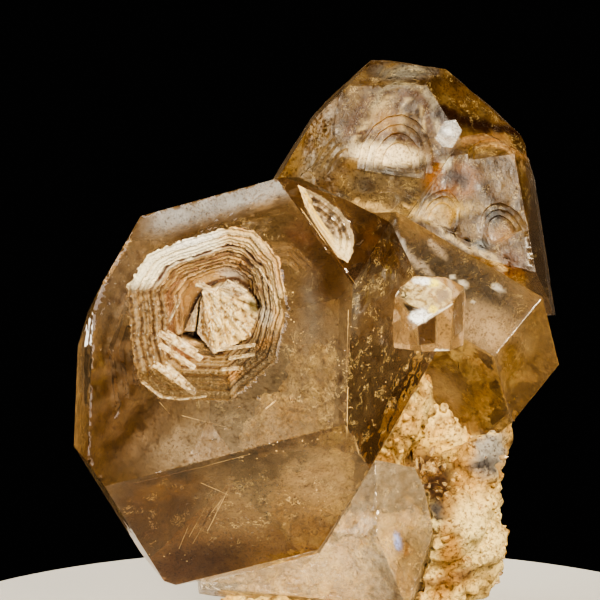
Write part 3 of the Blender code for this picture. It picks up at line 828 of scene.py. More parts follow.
def paint_main(skin):
    broad = skin.noise(6.0, 1)
    middling = skin.noise(1.7, 2)
    small = skin.noise(0.7, 3)
    ragged = 5 * middling + 3 * small
    skin.lay(1 - skin.front, TAN, 0.45 + 0.3 * broad)
    # A glow lamp would shine through this face as a white patch, so it is laid etched, brown and
    # dark-tinted: painted shade
    skin.lay(skin.looking(LOWER_BACK_WAY), paint(150, 110, 64), 2.0, (0.5, 0.4, 0.26))

    # The large face: a silvery band with growth lines along its upper edge, the silver a painted sheen
    # of light from above; painted light streaks, a painted glow and veils
    large = skin.looking(quartz_face("u0")) * skin.front
    from_edge = (skin.x - 147) * 0.305 + (skin.y - 216) * 0.952 + 2 * small
    band = large * (1 - soft_step(from_edge, 10, 34)) * soft_step(skin.x, 120, 170)
    growth = 0.5 + 0.5 * np.sin(from_edge * 1.15 + 1.5 * middling)
    skin.lay(band, SILVER, 0.90 + 0.35 * growth)
    skin.lay(band * growth * 0.45, paint(140, 122, 100))
    skin.lay_marks(MAIN_LARGE_MARKS, ragged, large)

    # The ladder of growth steps and the narrow facets down the left side
    ladder = skin.spot((121, 285), (17, 52), 27, 0.4, ragged)
    skin.lay(ladder, paint(170, 140, 104), 0.55 + 0.2 * small, spark=0.5)
    skin.lay(ladder * soft_step(small, 0.0, 0.2) * 0.8, UMBER)
    skin.lay(skin.path(((96, 330), (82, 372), (78, 440)), 15, 0.4), paint(178, 142, 96), 0.45)

    # The lower face: amber on the left, veined in the middle, a glow on the right
    lower = skin.looking(quartz_face("m0")) * skin.front
    skin.lay(lower, paint(170, 134, 88), 0.40 + 0.5 * middling, (0.60, 0.48, 0.30), 0.25)
    skin.lay_marks(MAIN_LOWER_MARKS, ragged, lower)

    # The frosted right face, and the dark one beside the small hollow
    right = skin.looking(quartz_face("m1")) * skin.front
    pitted = soft_step(small + 0.5 * middling, 0.05, 0.35)
    skin.lay(right, paint(142, 114, 80), 0.70, (0.72, 0.60, 0.44), 0.2, 1.0)
    skin.lay(right * pitted * 0.45, UMBER, 0.6)
    skin.lay_marks(MAIN_RIGHT_MARKS, ragged, right)
    upper = skin.looking(quartz_face("u1")) * skin.front
    skin.lay(upper, BROWN, 0.30, (0.66, 0.54, 0.36), veins=0.5)
    skin.lay_marks(MAIN_UPPER_MARKS, ragged)
    edge = skin.spot((345, 385), (6, 48), 0, 0.6, ragged)
    skin.lay(edge * pitted * 0.7, UMBER, 0.7)
    rough = 0.05 * np.maximum(middling, 0) * (1 - large) + 0.10 * pitted * right
    skin.press(rough + 0.03 * growth * band)


def paint_right(skin):
    broad = skin.noise(6.0, 11)
    middling = skin.noise(1.7, 12)
    small = skin.noise(0.7, 13)
    ragged = 4 * middling
    skin.lay(skin.all, paint(150, 122, 84), 0.5 + 0.2 * broad, (0.84, 0.76, 0.62), veins=0.4)
    skin.lay(1 - skin.front, TAN, 0.5 + 0.3 * middling)
    skin.lay_marks(RIGHT_MARKS, ragged)
    for x, y, reach in RIGHT_BEADS:
        skin.lay(skin.spot((x, y), (reach, reach * 0.7), 20, 0.4, small), IVORY, 1.0)
    skin.lay_marks(RIGHT_SHADE_MARKS, ragged)
    # Pale etching on the faces at its foot, also on those that look down and away a little
    foot = in_spot(skin.x + ragged, skin.y, (436, 406), (28, 36), 10, 0.5)
    foot = foot * (skin.outward[:, 1] < 0.3)
    skin.lay(foot, paint(196, 172, 138), 1.6, (0.95, 0.9, 0.8), spark=0.4)
    skin.lay_marks(RIGHT_LOW_MARKS, ragged)
    skin.press(0.06 * np.maximum(middling, 0))


def paint_back(skin):
    broad = skin.noise(7.0, 21)
    middling = skin.noise(2.2, 22)
    small = skin.noise(0.8, 23)
    ragged = 5 * middling
    skin.lay(skin.all, paint(124, 94, 54), 0.9 + 0.2 * broad, (0.80, 0.70, 0.52), veins=0.5)
    skin.lay(soft_step(middling, 0.0, 0.3) * 0.7, paint(84, 60, 30))
    skin.lay(soft_step(-middling, 0.15, 0.4) * 0.6, paint(166, 138, 92))
    skin.lay_marks(BACK_CROWN_MARKS, ragged)
    skin.lay_marks(BACK_BELOW_ARCHES, small)
    skin.lay_marks(BACK_SHOULDER_MARKS, ragged)
    # Darker where the key lamp falls full on the faces, so that they match the turned ones
    lit = soft_step(skin.outward @ np.array(KEY_WAY), 0.35, 0.85)
    skin.colour *= (1.15 - 0.62 * lit)[:, None] * np.array((1.0, 0.93, 0.76))
    # The trough's painted highlight, laid again
    skin.lay_marks(BACK_TROUGH_PAINTED_HIGHLIGHT, ragged)
    # Painted shade: clearer and darker on the faces that look away and at the right end, which the lamps
    # behind and beside light strongly
    skin.lay(1 - skin.front, paint(96, 70, 38), 0.12, (0.6, 0.5, 0.35))
    end = skin.front * soft_step(skin.x, 522, 534)
    skin.lay(end, paint(96, 70, 38), 0.3, (0.7, 0.6, 0.42))
    skin.press(0.18 * np.maximum(middling, 0) + 0.08 * np.maximum(small, 0))


def paint_lower(skin):
    broad = skin.noise(6.0, 31)
    middling = skin.noise(1.6, 32)
    small = skin.noise(0.6, 33)
    ragged = 4 * middling
    skin.lay(skin.all, paint(196, 178, 150), 0.62 + 0.2 * broad, (0.94, 0.86, 0.72), 0.2, 0.6)
    skin.lay(soft_step(middling, 0.1, 0.35) * 0.5, paint(132, 108, 78))
    across = skin.x * 0.87 - skin.y * 0.5 + 5 * middling
    etched = skin.front * (0.5 + 0.5 * np.sin(across * 0.9)) * soft_step(small, -0.1, 0.2)
    skin.lay(etched * 0.6, paint(120, 98, 72))
    skin.lay_marks(LOWER_MARKS, ragged)
    skin.lay_marks(LOWER_FINE_MARKS, small)
    skin.press(0.10 * etched + 0.12 * np.maximum(middling, 0))


def paint_small(skin):
    small = skin.noise(0.5, 41)
    fine = skin.noise(0.25, 42)
    skin.lay(skin.all, paint(196, 170, 128), 0.06, (0.90, 0.82, 0.66))
    skin.lay(1 - skin.front, TAN, 0.2)
    # The crown and the facets are laid with painted light and shade over the quartz's own colour
    crown = skin.patch(SMALL_CROWN)
    skin.lay(crown, paint(228, 208, 158), 0.75, spark=0.5)
    skin.lay(crown * soft_step(small, 0.0, 0.3) * 0.7, paint(150, 118, 70), 0.6)
    for corners, *laid in SMALL_UPPER_FACETS:
        skin.lay(skin.patch(corners), *laid)
    west = skin.patch(SMALL_WEST)
    skin.lay(west * soft_step(skin.x + small, 399, 403), paint(178, 142, 96), 0.6)
    for corners, *laid in SMALL_LOWER_FACETS:
        skin.lay(skin.patch(corners), *laid)
    pits = skin.spot((402, 293), (7, 8), -30, 0.5, small) * soft_step(fine, -0.05, 0.1)
    skin.lay(pits, SOOT, 1.0)
    # Painted reflections
    skin.lay_marks(SMALL_LIGHTS, 1.5 * small)
    skin.lay_marks(SMALL_RIMS, small)


def paint_bead(skin):
    small = skin.noise(0.6, 51)
    skin.lay(skin.all, SILVER, 0.35 + 0.3 * small, spark=0.8)
    skin.lay(skin.spot((447, 132), (6, 4), 0, 0.5), paint(252, 252, 250), 1.0)


def make_crystals(smoky, frosted, etched, clear):
    """Dresses a copy of each crystal's node and returns the copies by the nodes' names."""
    # Finish, slot, width of the worn edges, longest edge of the mesh, and painter
    looks = {
        "main_crystal": (smoky, "smoky_quartz", 0.12, 0.7, paint_main),
        "right_crystal": (smoky, "smoky_quartz", 0.12, 0.8, paint_right),
        "back_crystal": (etched, "frosted_quartz", 0.12, 0.9, paint_back),
        "lower_crystal": (frosted, "frosted_quartz", 0.15, 0.55, paint_lower),
        "small_crystal": (clear, "clear_quartz", 0.08, 0.22, paint_small),
        "bead_crystal": (clear, "clear_quartz", 0.05, 0.25, paint_bead),
    }
    made = {}
    for node, (finish, slot, worn, longest, paint_on) in looks.items():
        piece = copy_of_node(node, node + "_quartz")
        soften_edges(piece, worn)
        refine(piece, longest)
        skin = Skin(piece, TAN, 0.1)
        paint_on(skin)
        skin.write()
        smooth_below(piece, 25)
        settle(piece, finish, slot, node)
        made[node] = piece
    return made


def share_of_outline(outline, x, y):
    """How far out points lie from the middle, as a share of the outline's way there."""
    turn = np.arctan2(y, x)
    reach = np.full(x.shape, 1e-6)
    for (ax, ay), (bx, by) in zip(outline, outline[1:] + outline[:1]):
        cross = np.cos(turn) * (by - ay) - np.sin(turn) * (bx - ax)
        far = (ax * (by - ay) - ay * (bx - ax)) / np.where(np.abs(cross) < 1e-9, 1e-9, cross)
        along = np.where(
            abs(bx - ax) > abs(by - ay),
            (far * np.cos(turn) - ax) / ((bx - ax) or 1),
            (far * np.sin(turn) - ay) / ((by - ay) or 1),
        )
        hit = (far > 0) & (along >= -1e-6) & (along <= 1 + 1e-6)
        reach = np.where(hit, np.maximum(reach, far), reach)
    return np.hypot(x, y) / reach


def blurred(sheet, reach):
    """A sheet of numbers, each made the mean of those up to reach places from it."""
    total = np.zeros_like(sheet)
    for i in range(-reach, reach + 1):
        for j in range(-reach, reach + 1):
            total += np.roll(sheet, (i, j), (0, 1))
    return total / (2 * reach + 1) ** 2


def sheet_over(name, axes, wide, squares, thick, carve, finish):
    """A crust on a face. Carve gives each point's height, colour, wear and whether it stays."""
    bpy.ops.mesh.primitive_grid_add(x_subdivisions=squares, y_subdivisions=squares, size=wide)
    piece = bpy.context.object
    piece.name = name
    mesh = piece.data
    count = squares + 1
    flat = np.empty(count * count * 3)
    mesh.vertices.foreach_get("co", flat)
    flat = flat.reshape(-1, 3)
    x = flat[:, 0].reshape(count, count)
    y = flat[:, 1].reshape(count, count)
    height, colour, bare, keep = carve(x, y)
    flat[:, 2] = height.ravel()
    mesh.vertices.foreach_set("co", flat.ravel())
    lay_colour(mesh, "skin", colour.reshape(-1, 3))
    lay_number(mesh, "bare", bare)
    select_only(piece)
    mesh.edges.foreach_set("select", np.zeros(len(mesh.edges), bool))
    mesh.polygons.foreach_set("select", np.zeros(len(mesh.polygons), bool))
    mesh.vertices.foreach_set("select", ~keep.ravel())
    bpy.ops.object.mode_set(mode="EDIT")
    bpy.ops.mesh.select_mode(type="VERT")
    bpy.ops.mesh.delete(type="VERT")
    bpy.ops.object.mode_set(mode="OBJECT")
    piece.matrix_world = axes @ Matrix.Scale(MM, 4)
    bpy.ops.object.transform_apply(location=True, rotation=True, scale=True)
    crust = piece.modifiers.new("crust", "SOLIDIFY")
    crust.thickness = thick * MM
    crust.offset = -1
    apply_all(piece)
    smooth_below(piece, 35)
    settle(piece, finish, "tan_druse")


# The large hollow on the main crystal's front face, in millimetres from its middle, with X
# along the face's lower edge
HOPPER_OUTLINE = [
    (-9.1, -2.0), (-9.3, -5.1), (-7.6, -7.4), (-4.2, -8.3), (-0.6, -9.4), (5.3, -6.7), (8.3, -1.8),
    (9.1, 3.9), (7.3, 7.2), (5.0, 8.3), (-0.6, 8.2), (-4.4, 7.8), (-7.6, 5.0),
]
# Corners of the solid's steps: share of the outline and depth
HOPPER_CORNERS = (
    (1.03, -0.08), (1.0, 0.0), (0.90, 0.45), (0.81, 1.15), (0.72, 1.95), (0.63, 2.85),
    (0.54, 3.75), (0.42, 4.85), (0.0, 5.6),
)
HOPPER_LEDGES = 14
HOPPER_WIDE = 20.0
HOPPER_SQUARES = 180
HOPPER_CRUST = 0.1
TEARDROP_WIDE = 10.4
TEARDROP_SQUARES = 120
TEARDROP_CRUST = 0.06
# How much of a ledge is its rounded edge, as a share of the outline
LEDGE_EDGE = 0.012
HOLE_CORNERS = ((-5.0, -1.8), (-2.8, -1.9), (-2.4, -3.6), (-4.2, -2.8))
PANEL_CORNERS = ((-2.3, 4.0), (-0.7, 2.4), (-4.2, -1.4), (-5.5, -0.4), (-3.4, 2.2))
FAN_CORNERS = (
    (-0.6, 2.4), (1.2, 2.5), (2.9, 2.3), (4.6, -0.2), (4.4, -3.4), (1.6, -4.3), (-1.5, -4.7),
    (-2.9, -2.0),
)
FAN_WING = ((-0.6, 2.4), (-2.9, -2.0), (-4.4, -1.5))
UPPER_FACET = ((0.9, 2.5), (3.0, 2.4), (4.4, 0.6), (2.4, 0.7))
FAN_TOP = (-0.6, 2.3)
FAN_FOOT = (-1.4, -4.4)
FAN_TOP_DEPTH = 2.3
OUTSIDE_FAN = 5.0
HOLE_DEPTH = 1.0
# Stains in the hollow: place, reach, turn, softness, strength and colour
HOPPER_STAINS = (
    ((2.6, 2.9), (1.5, 0.8), -30, 0.5, 0.8, paint(176, 164, 146)),
    ((5.4, -2.0), (1.1, 0.9), 20, 0.5, 0.7, paint(228, 216, 190)),
    ((0.3, -7.1), (1.3, 0.5), 15, 0.6, 0.8, OCHRE),
    ((4.8, -4.6), (1.3, 0.5), 15, 0.6, 0.8, OCHRE),
)
# Dark seams between the upper ledges: share of the outline, width and strength
HOPPER_SEAMS = ((0.76, 0.022, 1.0), (0.65, 0.016, 0.9), (0.575, 0.016, 0.8))


def stairs(share, corners, ledges, seed):
    """Depth of a flight of uneven ledges that follows the corners from the rim inwards."""
    picker = random.Random(seed)
    outer, inner = corners[0][0], corners[-2][0]
    wide = (outer - inner) / ledges
    shares = [outer - wide * (i + picker.uniform(-0.3, 0.3)) for i in range(ledges + 1)]
    shares.sort(reverse=True)
    steps = np.array([corner[0] for corner in reversed(corners)])
    depths = np.array([corner[1] for corner in reversed(corners)])
    depth = np.full(share.shape, float(np.interp(shares[0], steps, depths)))
    for above, below in zip(shares, shares[1:]):
        fall = float(np.interp(below, steps, depths) - np.interp(above, steps, depths))
        depth += fall * soft_step(above - share, 0, LEDGE_EDGE)
    return depth


class Layers:
    """Colours laid over one another on a sheet of points."""

    def __init__(self, shape, colour):
        self.colour = np.tile(np.array(colour), (*shape, 1))

    def lay(self, share, colour):
        share = np.clip(share, 0, 1)[..., None]
        self.colour += (np.array(colour) - self.colour) * share


def within(x, y, corners, soft):
    """1 inside an outline that bulges everywhere, whose corners run clockwise; 0 beyond it."""
    beyond = np.full(x.shape, -1e9)
    for (ax, ay), (bx, by) in zip(corners, corners[1:] + corners[:1]):
        length = math.hypot(bx - ax, by - ay)
        beyond = np.maximum(beyond, ((x - ax) * (ay - by) + (y - ay) * (bx - ax)) / length)
    return 1 - soft_step(beyond, -soft, soft)


def carve_fan(x, y, wave, ragged):
    """Depth of the fan-shaped blade, with how far points lie beside its crest and its streaks.

    Its crest runs from FAN_TOP to FAN_FOOT, and its streaks spread from the top.
    """
    along = ((FAN_FOOT[0] - FAN_TOP[0]), (FAN_FOOT[1] - FAN_TOP[1]))
    length = math.hypot(*along)
    ux, uy = along[0] / length, along[1] / length
    down = (x - FAN_TOP[0]) * ux + (y - FAN_TOP[1]) * uy
    beside = (x - FAN_TOP[0]) * -uy + (y - FAN_TOP[1]) * ux
    spread = np.arctan2(beside, down + 1.0)
    streaks = flat_noise(spread * 5.0, down * 0.25, 0.5, 51, 3)
    facets = 0.35 * soft_step(beside + 0.3 * wave, 1.5, 1.7)
    facets = facets + 0.3 * soft_step(beside - 0.2 * down, 3.0, 3.2)
    sides = np.where(beside < 0, -beside * 0.46, beside * 0.06)
    depth = FAN_TOP_DEPTH + 0.10 * down + sides + facets
    depth += 0.22 * streaks + 0.05 * ragged
    inside = np.maximum(
        within(x + 0.12 * ragged, y + 0.1 * wave, FAN_CORNERS, 0.12),
        within(x + 0.12 * ragged, y + 0.1 * wave, FAN_WING, 0.12),
    )
    depth += OUTSIDE_FAN * (1 - inside)
    return depth, beside, streaks


def carve_hopper(x, y):
    far = share_of_outline(HOPPER_OUTLINE, x, y)
    wave = flat_noise(x, y, 2.6, 1)
    ragged = flat_noise(x, y, 0.5, 4, 3)
    sideways = far + 0.020 * wave + 0.012 * ragged
    depth = stairs(sideways, HOPPER_CORNERS, HOPPER_LEDGES, 7)
    left = soft_step(-x, 2.5, 5.5) * soft_step(y, -6.5, -3)
    depth -= 0.16 * left * np.maximum(flat_noise(x, y, 0.45, 9, 3), 0)
    depth += 0.05 * flat_noise(x, y, 0.35, 12, 3)
    fan_depth, beside, streaks = carve_fan(x, y, wave, ragged)
    fan = fan_depth < depth
    depth = np.minimum(depth, fan_depth)
    hole = within(x + 0.15 * ragged, y, HOLE_CORNERS, 0.2)
    depth = depth + HOLE_DEPTH * hole

    # Painted shade in the recesses at the foot of each step, which also stands for brown stain there,
    # and painted highlights on the lips, strongest on the upper rim
    hollow = blurred(depth, 4) - depth
    top = soft_step(y + 0.4 * x, 1.2, 3.2)
    rim = top * soft_step(far, 0.70, 0.78)
    recess_stain_and_shade = np.clip(-hollow * 4.0, 0, 1) * (1 - 0.7 * rim)
    lip_highlight = np.clip(hollow * 3.2, 0, 1)
    side = soft_step(x, 2.0, 5.0) * soft_step(y, -3.5, -1.0)
    low = soft_step(-y, 3.0, 4.5)
    corner = low * soft_step(x, -0.5, 1.0)
    stained = soft_step(wave, 0.0, 0.3) * 0.6

    layers = Layers(x.shape, paint(200, 160, 102))
    layers.lay(left, paint(142, 112, 70))
    layers.lay(left * soft_step(flat_noise(x, y, 0.5, 31, 3), 0.0, 0.25) * 0.8, paint(80, 54, 26))
    layers.lay(top * (1 - soft_step(far, 0.72, 0.80)), paint(170, 134, 82))
    # The upper rim band and the right side are laid paler: the cream crust, and painted light where
    # light falls on the top and right
    layers.lay(top * soft_step(far + 0.03 * wave, 0.70, 0.77), paint(252, 240, 208))
    layers.lay(side * soft_step(far, 0.50, 0.62), paint(226, 192, 134))
    layers.lay(side * stained, OCHRE)
    layers.lay(low * (1 - corner), paint(142, 112, 66))
    layers.lay(corner, paint(138, 112, 74))
    layers.lay(corner * stained, paint(112, 84, 48))
    layers.lay(fan, paint(228, 196, 132))
    layers.lay(fan * soft_step(wave, -0.1, 0.35) * 0.7, paint(206, 164, 98))
    layers.lay(fan * soft_step(-beside, -0.1, 0.1), paint(176, 136, 78))
    layers.lay(fan * soft_step(np.abs(streaks), 0.10, 0.02) * 0.9, paint(252, 236, 198))
    layers.lay(fan * soft_step(np.abs(streaks - 0.22), 0.09, 0.02) * 0.7, paint(134, 92, 46))
    layers.lay(within(x, y, UPPER_FACET, 0.15) * 0.8, paint(158, 136, 104))
    layers.lay(fan * soft_step(ragged, 0.28, 0.42) * 0.7, paint(112, 74, 34))
    panel = within(x, y, PANEL_CORNERS, 0.2) * ~fan
    layers.lay(panel, paint(150, 112, 64))
    layers.lay(panel * stained, paint(112, 76, 38))
    layers.lay(in_spot(x + 0.3 * wave, y, (4.2, -0.7), (0.7, 0.9), -20, 0.4), paint(110, 90, 36))
    for place, reach, turn, soft, strength, colour in HOPPER_STAINS:
        layers.lay(in_spot(x, y, place, reach, turn, soft) * strength, colour)
    # Painted shade and brown stain in the recesses, and painted highlights on the lips
    layers.lay(recess_stain_and_shade, paint(86, 54, 24))
    layers.lay(lip_highlight * (0.35 + 0.4 * rim), paint(246, 230, 198))
    for at, width, strength in HOPPER_SEAMS:
        seam = strength * np.exp(-(((sideways - at) / width) ** 2))
        layers.lay(seam * top * soft_step(flat_noise(x, y, 1.5, 20), -0.35, 0.1), paint(84, 40, 18))
    band = np.exp(-(((sideways - 0.58) / 0.035) ** 2)) * soft_step(-x, 2.0, 3.5)
    layers.lay(band * 0.8, paint(112, 64, 32))
    layers.lay(hole, paint(48, 22, 10))
    layers.lay(in_spot(x, y, (1.0, 8.0), (2.8, 0.55), 2, 0.5), IVORY)

    # Worn through to the quartz at the lower right, in the foot, at the right and past the rim
    wear = (
        0.52 * corner * soft_step(far, 0.50, 0.65),
        0.56 * low * soft_step(far, 0.62, 0.75) * (1 - corner),
        0.7 * soft_step(x, 6.0, 8.5) * (1 - soft_step(y, -1.0, 2.0)),
        soft_step(far + 0.03 * ragged, 0.985, 1.03),
    )
    bare = np.where(fan, 0.0, np.maximum.reduce(wear))
    return -depth, layers.colour, bare, far < 1.04


# The small hollow on the neighbouring face, its tip up and its round end down
TEARDROP_OUTLINE = [
    (-2.7, 4.7), (-2.4, 2.5), (-1.5, -0.1), (0.2, -3.4), (1.2, -4.1), (2.1, -3.0), (2.6, -1.4),
    (2.4, 0.3), (1.6, 1.6), (-0.2, 3.3),
]
TEARDROP_CORNERS = (
    (1.04, -0.05), (1.0, 0.0), (0.97, 0.45), (0.84, 0.5), (0.81, 0.85), (0.66, 0.9), (0.63, 1.3),
    (0.0, 1.4),
)
PLATE_BEVEL = 0.28
GRAIN_BEVEL = 0.22


def carve_teardrop(x, y):
    far = share_of_outline(TEARDROP_OUTLINE, x, y)
    wave = flat_noise(x, y, 1.2, 41)
    ragged = flat_noise(x, y, 0.55, 42, 3)
    steps = np.array([corner[0] for corner in reversed(TEARDROP_CORNERS)])
    depths = np.array([corner[1] for corner in reversed(TEARDROP_CORNERS)])
    depth = np.interp(far + 0.02 * wave, steps, depths)
    # Across the hollow: below 0 on its finely layered side, above it on its spotted side
    across = x * 0.90 + y * 0.43 - 0.1
    layered = 1 - soft_step(across + 0.15 * wave, -0.1, 0.15)
    ribs = np.sin((across + 0.08 * wave) * 16)
    depth = depth - 0.5 * layered * np.clip(across + 1.6, 0, 1.4) + 0.05 * ribs * layered
    depth = np.maximum(depth, 0.05 * far) + 0.05 * ragged
    layers = Layers(x.shape, paint(140, 118, 88))
    layers.lay(soft_step(ragged, 0.05, 0.3) * 0.8, paint(64, 44, 26))
    layers.lay(soft_step(-ragged, 0.1, 0.35) * 0.7, paint(196, 178, 150))
    layers.lay(layered, paint(224, 198, 142))
    layers.lay(layered * soft_step(ribs + wave, 0.0, 0.8) * 0.7, paint(150, 112, 60))
    layers.lay(np.exp(-((across / 0.12) ** 2)) * 0.8, paint(92, 66, 34))
    layers.lay(np.exp(-(((across + 0.25) / 0.08) ** 2)) * soft_step(y, -2.0, 0.5), paint(240, 206, 110))
    layers.lay(in_spot(x, y, (1.4, -2.4), (1.0, 1.3), 20, 0.5), paint(228, 208, 164))
    layers.lay(soft_step(far, 0.93, 0.99) * 0.6, CREAM)
    bare = soft_step(far + 0.03 * ragged, 0.99, 1.03)
    return -depth, layers.colour, bare, far < 1.05


def plate(start, end, wide, top, thick, lean):
    """A bevelled quartz plate between two places in the hopper, its top that far down."""
    length = math.hypot(end[0] - start[0], end[1] - start[1])
    piece = bevel_box((length, wide, thick), PLATE_BEVEL)
    turn = math.atan2(end[1] - start[1], end[0] - start[0])
    middle = Vector(((start[0] + end[0]) / 2, (start[1] + end[1]) / 2, -top - thick / 2))
    piece.matrix_world = (
        HOPPER_AXES @ Matrix.Scale(MM, 4) @ Matrix.Translation(middle)
        @ Matrix.Rotation(turn, 4, "Z") @ Matrix.Rotation(math.radians(lean), 4, "X")
    )
    return piece


# Glassy plates in the hopper: both ends, width, depth of the top, thickness and lean
HOPPER_PLATES = (
    ((-6.3, -0.7), (-2.6, -4.7), 0.34, 1.6, 0.8, 35),
    ((-5.6, -0.9), (-3.0, -3.9), 0.14, 1.9, 0.8, 35),
    ((-6.6, -1.9), (-3.6, -5.4), 0.16, 1.6, 0.7, 30),
    ((-7.5, -3.7), (-4.0, -7.9), 0.26, 0.6, 0.9, 35),
    ((-6.5, -4.0), (-4.4, -7.3), 0.14, 0.8, 0.8, 35),
    ((-9.2, -5.1), (-7.6, -7.2), 0.15, 0.0, 0.7, 10),
    ((-7.6, -7.2), (-5.6, -8.0), 0.15, 0.0, 0.7, 10),
    ((-5.6, -8.0), (-2.8, -8.4), 0.15, 0.0, 0.7, 5),
    # The next three plates lie on bright bars in the hollow; their pale etching is partly painted
    # highlight
    ((-5.2, 0.0), (-3.3, 2.0), 0.22, 2.5, 0.9, 20),
    ((-0.9, 3.3), (0.8, 1.9), 0.30, 2.1, 0.8, 25),
    ((2.4, 2.8), (4.2, 1.0), 0.24, 2.1, 0.8, -15),
    ((0.8, 1.9), (2.3, 2.6), 0.14, 2.2, 0.8, 10),
    ((-0.5, -4.2), (3.4, -4.7), 0.20, 2.0, 0.7, 15),
    ((0.3, -5.3), (3.2, -5.6), 0.22, 1.5, 0.7, 15),
    ((-0.6, -6.2), (1.6, -6.6), 0.18, 1.0, 0.7, 15),
    ((6.4, 3.2), (7.2, 0.4), 0.18, 1.0, 0.8, -20),
)


def join(pieces, name):
    """Makes one piece of many, with their places put in its mesh."""
    select_only(pieces[0])
    for piece in pieces:
        piece.select_set(True)
    bpy.ops.object.join()
    joined = bpy.context.object
    joined.name = name
    bpy.ops.object.transform_apply(location=True, rotation=True, scale=True)
    return joined


def make_hopper_plates(finish):
    piece = join([plate(*given) for given in HOPPER_PLATES], "hopper_plates")
    refine(piece, 0.3)
    skin = Skin(piece, paint(222, 200, 156), 1.0)
    small = skin.noise(0.4, 61)
    skin.lay(soft_step(small, 0.1, 0.3) * 0.8, paint(150, 116, 66), 0.6)
    skin.lay(soft_step(-small, 0.2, 0.4) * 0.8, IVORY, 1.2)
    skin.write()
    smooth_below(piece, 30)
    settle(piece, finish, "clear_quartz")


def camera_place():
    away = Vector((0, -math.cos(CAMERA_RISE), math.sin(CAMERA_RISE))) * CAMERA_AWAY
    return Vector(CAMERA_TARGET) + away


def spot_on(piece, x, y):
    """Where a place in the picture lies on a piece, in metres, and the way its surface looks."""
    scale = CAMERA_AWAY * SENSOR / CAMERA_LENS / PICTURE
    up = Vector((0, math.sin(CAMERA_RISE), math.cos(CAMERA_RISE)))
    middle = PICTURE / 2
    aim = Vector(CAMERA_TARGET) + Vector((1, 0, 0)) * (x - middle) * scale + up * (middle - y) * scale
    start = camera_place() * MM
    hit, place, outward, _ = piece.ray_cast(start, (aim * MM - start).normalized())
    return (place, outward) if hit else None


def model_grain():
    """One blocky grain, a unit across; set_on gives it its size in millimetres."""
    return bevel_box((1, 1, 1), GRAIN_BEVEL)


def model_point():
    """One tiny quartz point with six sides, a unit long, like the grain."""
    bpy.ops.mesh.primitive_cylinder_add(vertices=6, radius=0.22, depth=0.7, location=(0, 0, 0.15))
    point = bpy.context.object
    bpy.ops.object.transform_apply(location=True, rotation=False, scale=False)
    bpy.ops.object.mode_set(mode="EDIT")
    bpy.ops.mesh.select_all(action="DESELECT")
    bpy.ops.object.mode_set(mode="OBJECT")
    for polygon in point.data.polygons:
        polygon.select = polygon.normal.z > 0.9
    bpy.ops.object.mode_set(mode="EDIT")
    bpy.ops.mesh.select_mode(type="FACE")
    bpy.ops.mesh.extrude_region_move(TRANSFORM_OT_translate={"value": (0, 0, 0.28)})
    bpy.ops.transform.resize(value=(0.12, 0.12, 1), center_override=(0, 0, 0.78))
    bpy.ops.object.mode_set(mode="OBJECT")
    return point


def set_on(pattern, place, outward, size, picker, sunk=0.0):
    """A copy of a small pattern, set on a surface, leaned, turned and squashed at random."""
    piece = copied(pattern)
    lean = Vector([picker.uniform(-0.6, 0.6) for _ in range(3)])
    way = (outward + lean).normalized()
    scales = [size * picker.uniform(0.7, 1.3) * MM for _ in range(3)]
    piece.matrix_world = (
        Matrix.Translation(place - outward * sunk * size * MM)
        @ way.to_track_quat("Z", "Y").to_matrix().to_4x4()
        @ Matrix.Rotation(picker.uniform(0, FULL_TURN), 4, "Z")
        @ Matrix.Diagonal((*scales, 1))
    )
    return piece


def random_places(mesh, count, picker, weight):
    """Places on a mesh, each with its outward way, likelier where weight is high."""
    chances = [p.area * weight(p.center, p.normal) for p in mesh.polygons]
    picked = picker.choices(range(len(mesh.polygons)), chances, k=count)
    return [(mesh.polygons[i].center.copy(), mesh.polygons[i].normal.copy()) for i in picked]


MATRIX_CREAM = paint(236, 196, 124)
MATRIX_TONGUE_MARKS = (
    ((408, 428), (18, 30), -20, 0.5, 1, 0.8, paint(236, 194, 124)),
    ((436, 446), (22, 8), 25, 0.5, 1, 1, paint(250, 212, 130)),
    ((447, 500), (8, 26), -6, 0.5, 1, 0.8, paint(150, 106, 52)),
)
MATRIX_MARKS = (
    ((437, 512), (7, 15), -10, 0.5, 1, 1, paint(92, 82, 72)),
    ((436, 526), (7, 6), 0, 0.5, 1, 1, paint(240, 216, 150)),
    ((490, 452), (15, 26), 10, 0.5, 1, 1, paint(172, 164, 150)),
    ((486, 466), (12, 5), -20, 0.5, 1, 1, paint(92, 84, 78)),
    # A bright patch low on the right: the pale druse, and painted light where the key lamp falls
    ((484, 535), (32, 40), 0, 0.5, 1, 0.8, paint(255, 230, 164)),
    ((452, 556), (13, 24), 0, 0.5, 1, 0.9, paint(188, 136, 66)),
    (((418, 588), (470, 574)), 10, 0, 0.5, 1, 0.7, paint(150, 104, 62), None, None, 0.8),
)
MATRIX_GRAINS = 900
MATRIX_POINTS = 260
POCKET_POINTS = 70


def paint_matrix(skin):
    """Colours the matrix or its grains, and returns where its dark pocket is."""
    broad = skin.noise(5.0, 71)
    middling = skin.noise(1.6, 72)
    small = skin.noise(0.6, 73)
    ragged = 6 * middling
    skin.lay(soft_step(broad, -0.1, 0.3), paint(252, 222, 152))
    skin.lay(soft_step(-broad, 0.1, 0.4) * 0.6, paint(206, 158, 90))
    skin.lay(soft_step(middling + 0.4 * small, 0.1, 0.45) * 0.65, paint(140, 92, 42))
    skin.lay_marks(MATRIX_TONGUE_MARKS, ragged)
    pocket = skin.spot((431, 474), (20, 27), -25, 0.4, ragged)
    skin.lay(pocket, paint(84, 54, 24), spark=0.3)
    skin.lay_marks(MATRIX_MARKS, ragged)
    # The broken base
    skin.lay(soft_step(-skin.points[:, 2], -1.2, -0.3) * 0.5, paint(160, 120, 78))
    return pocket


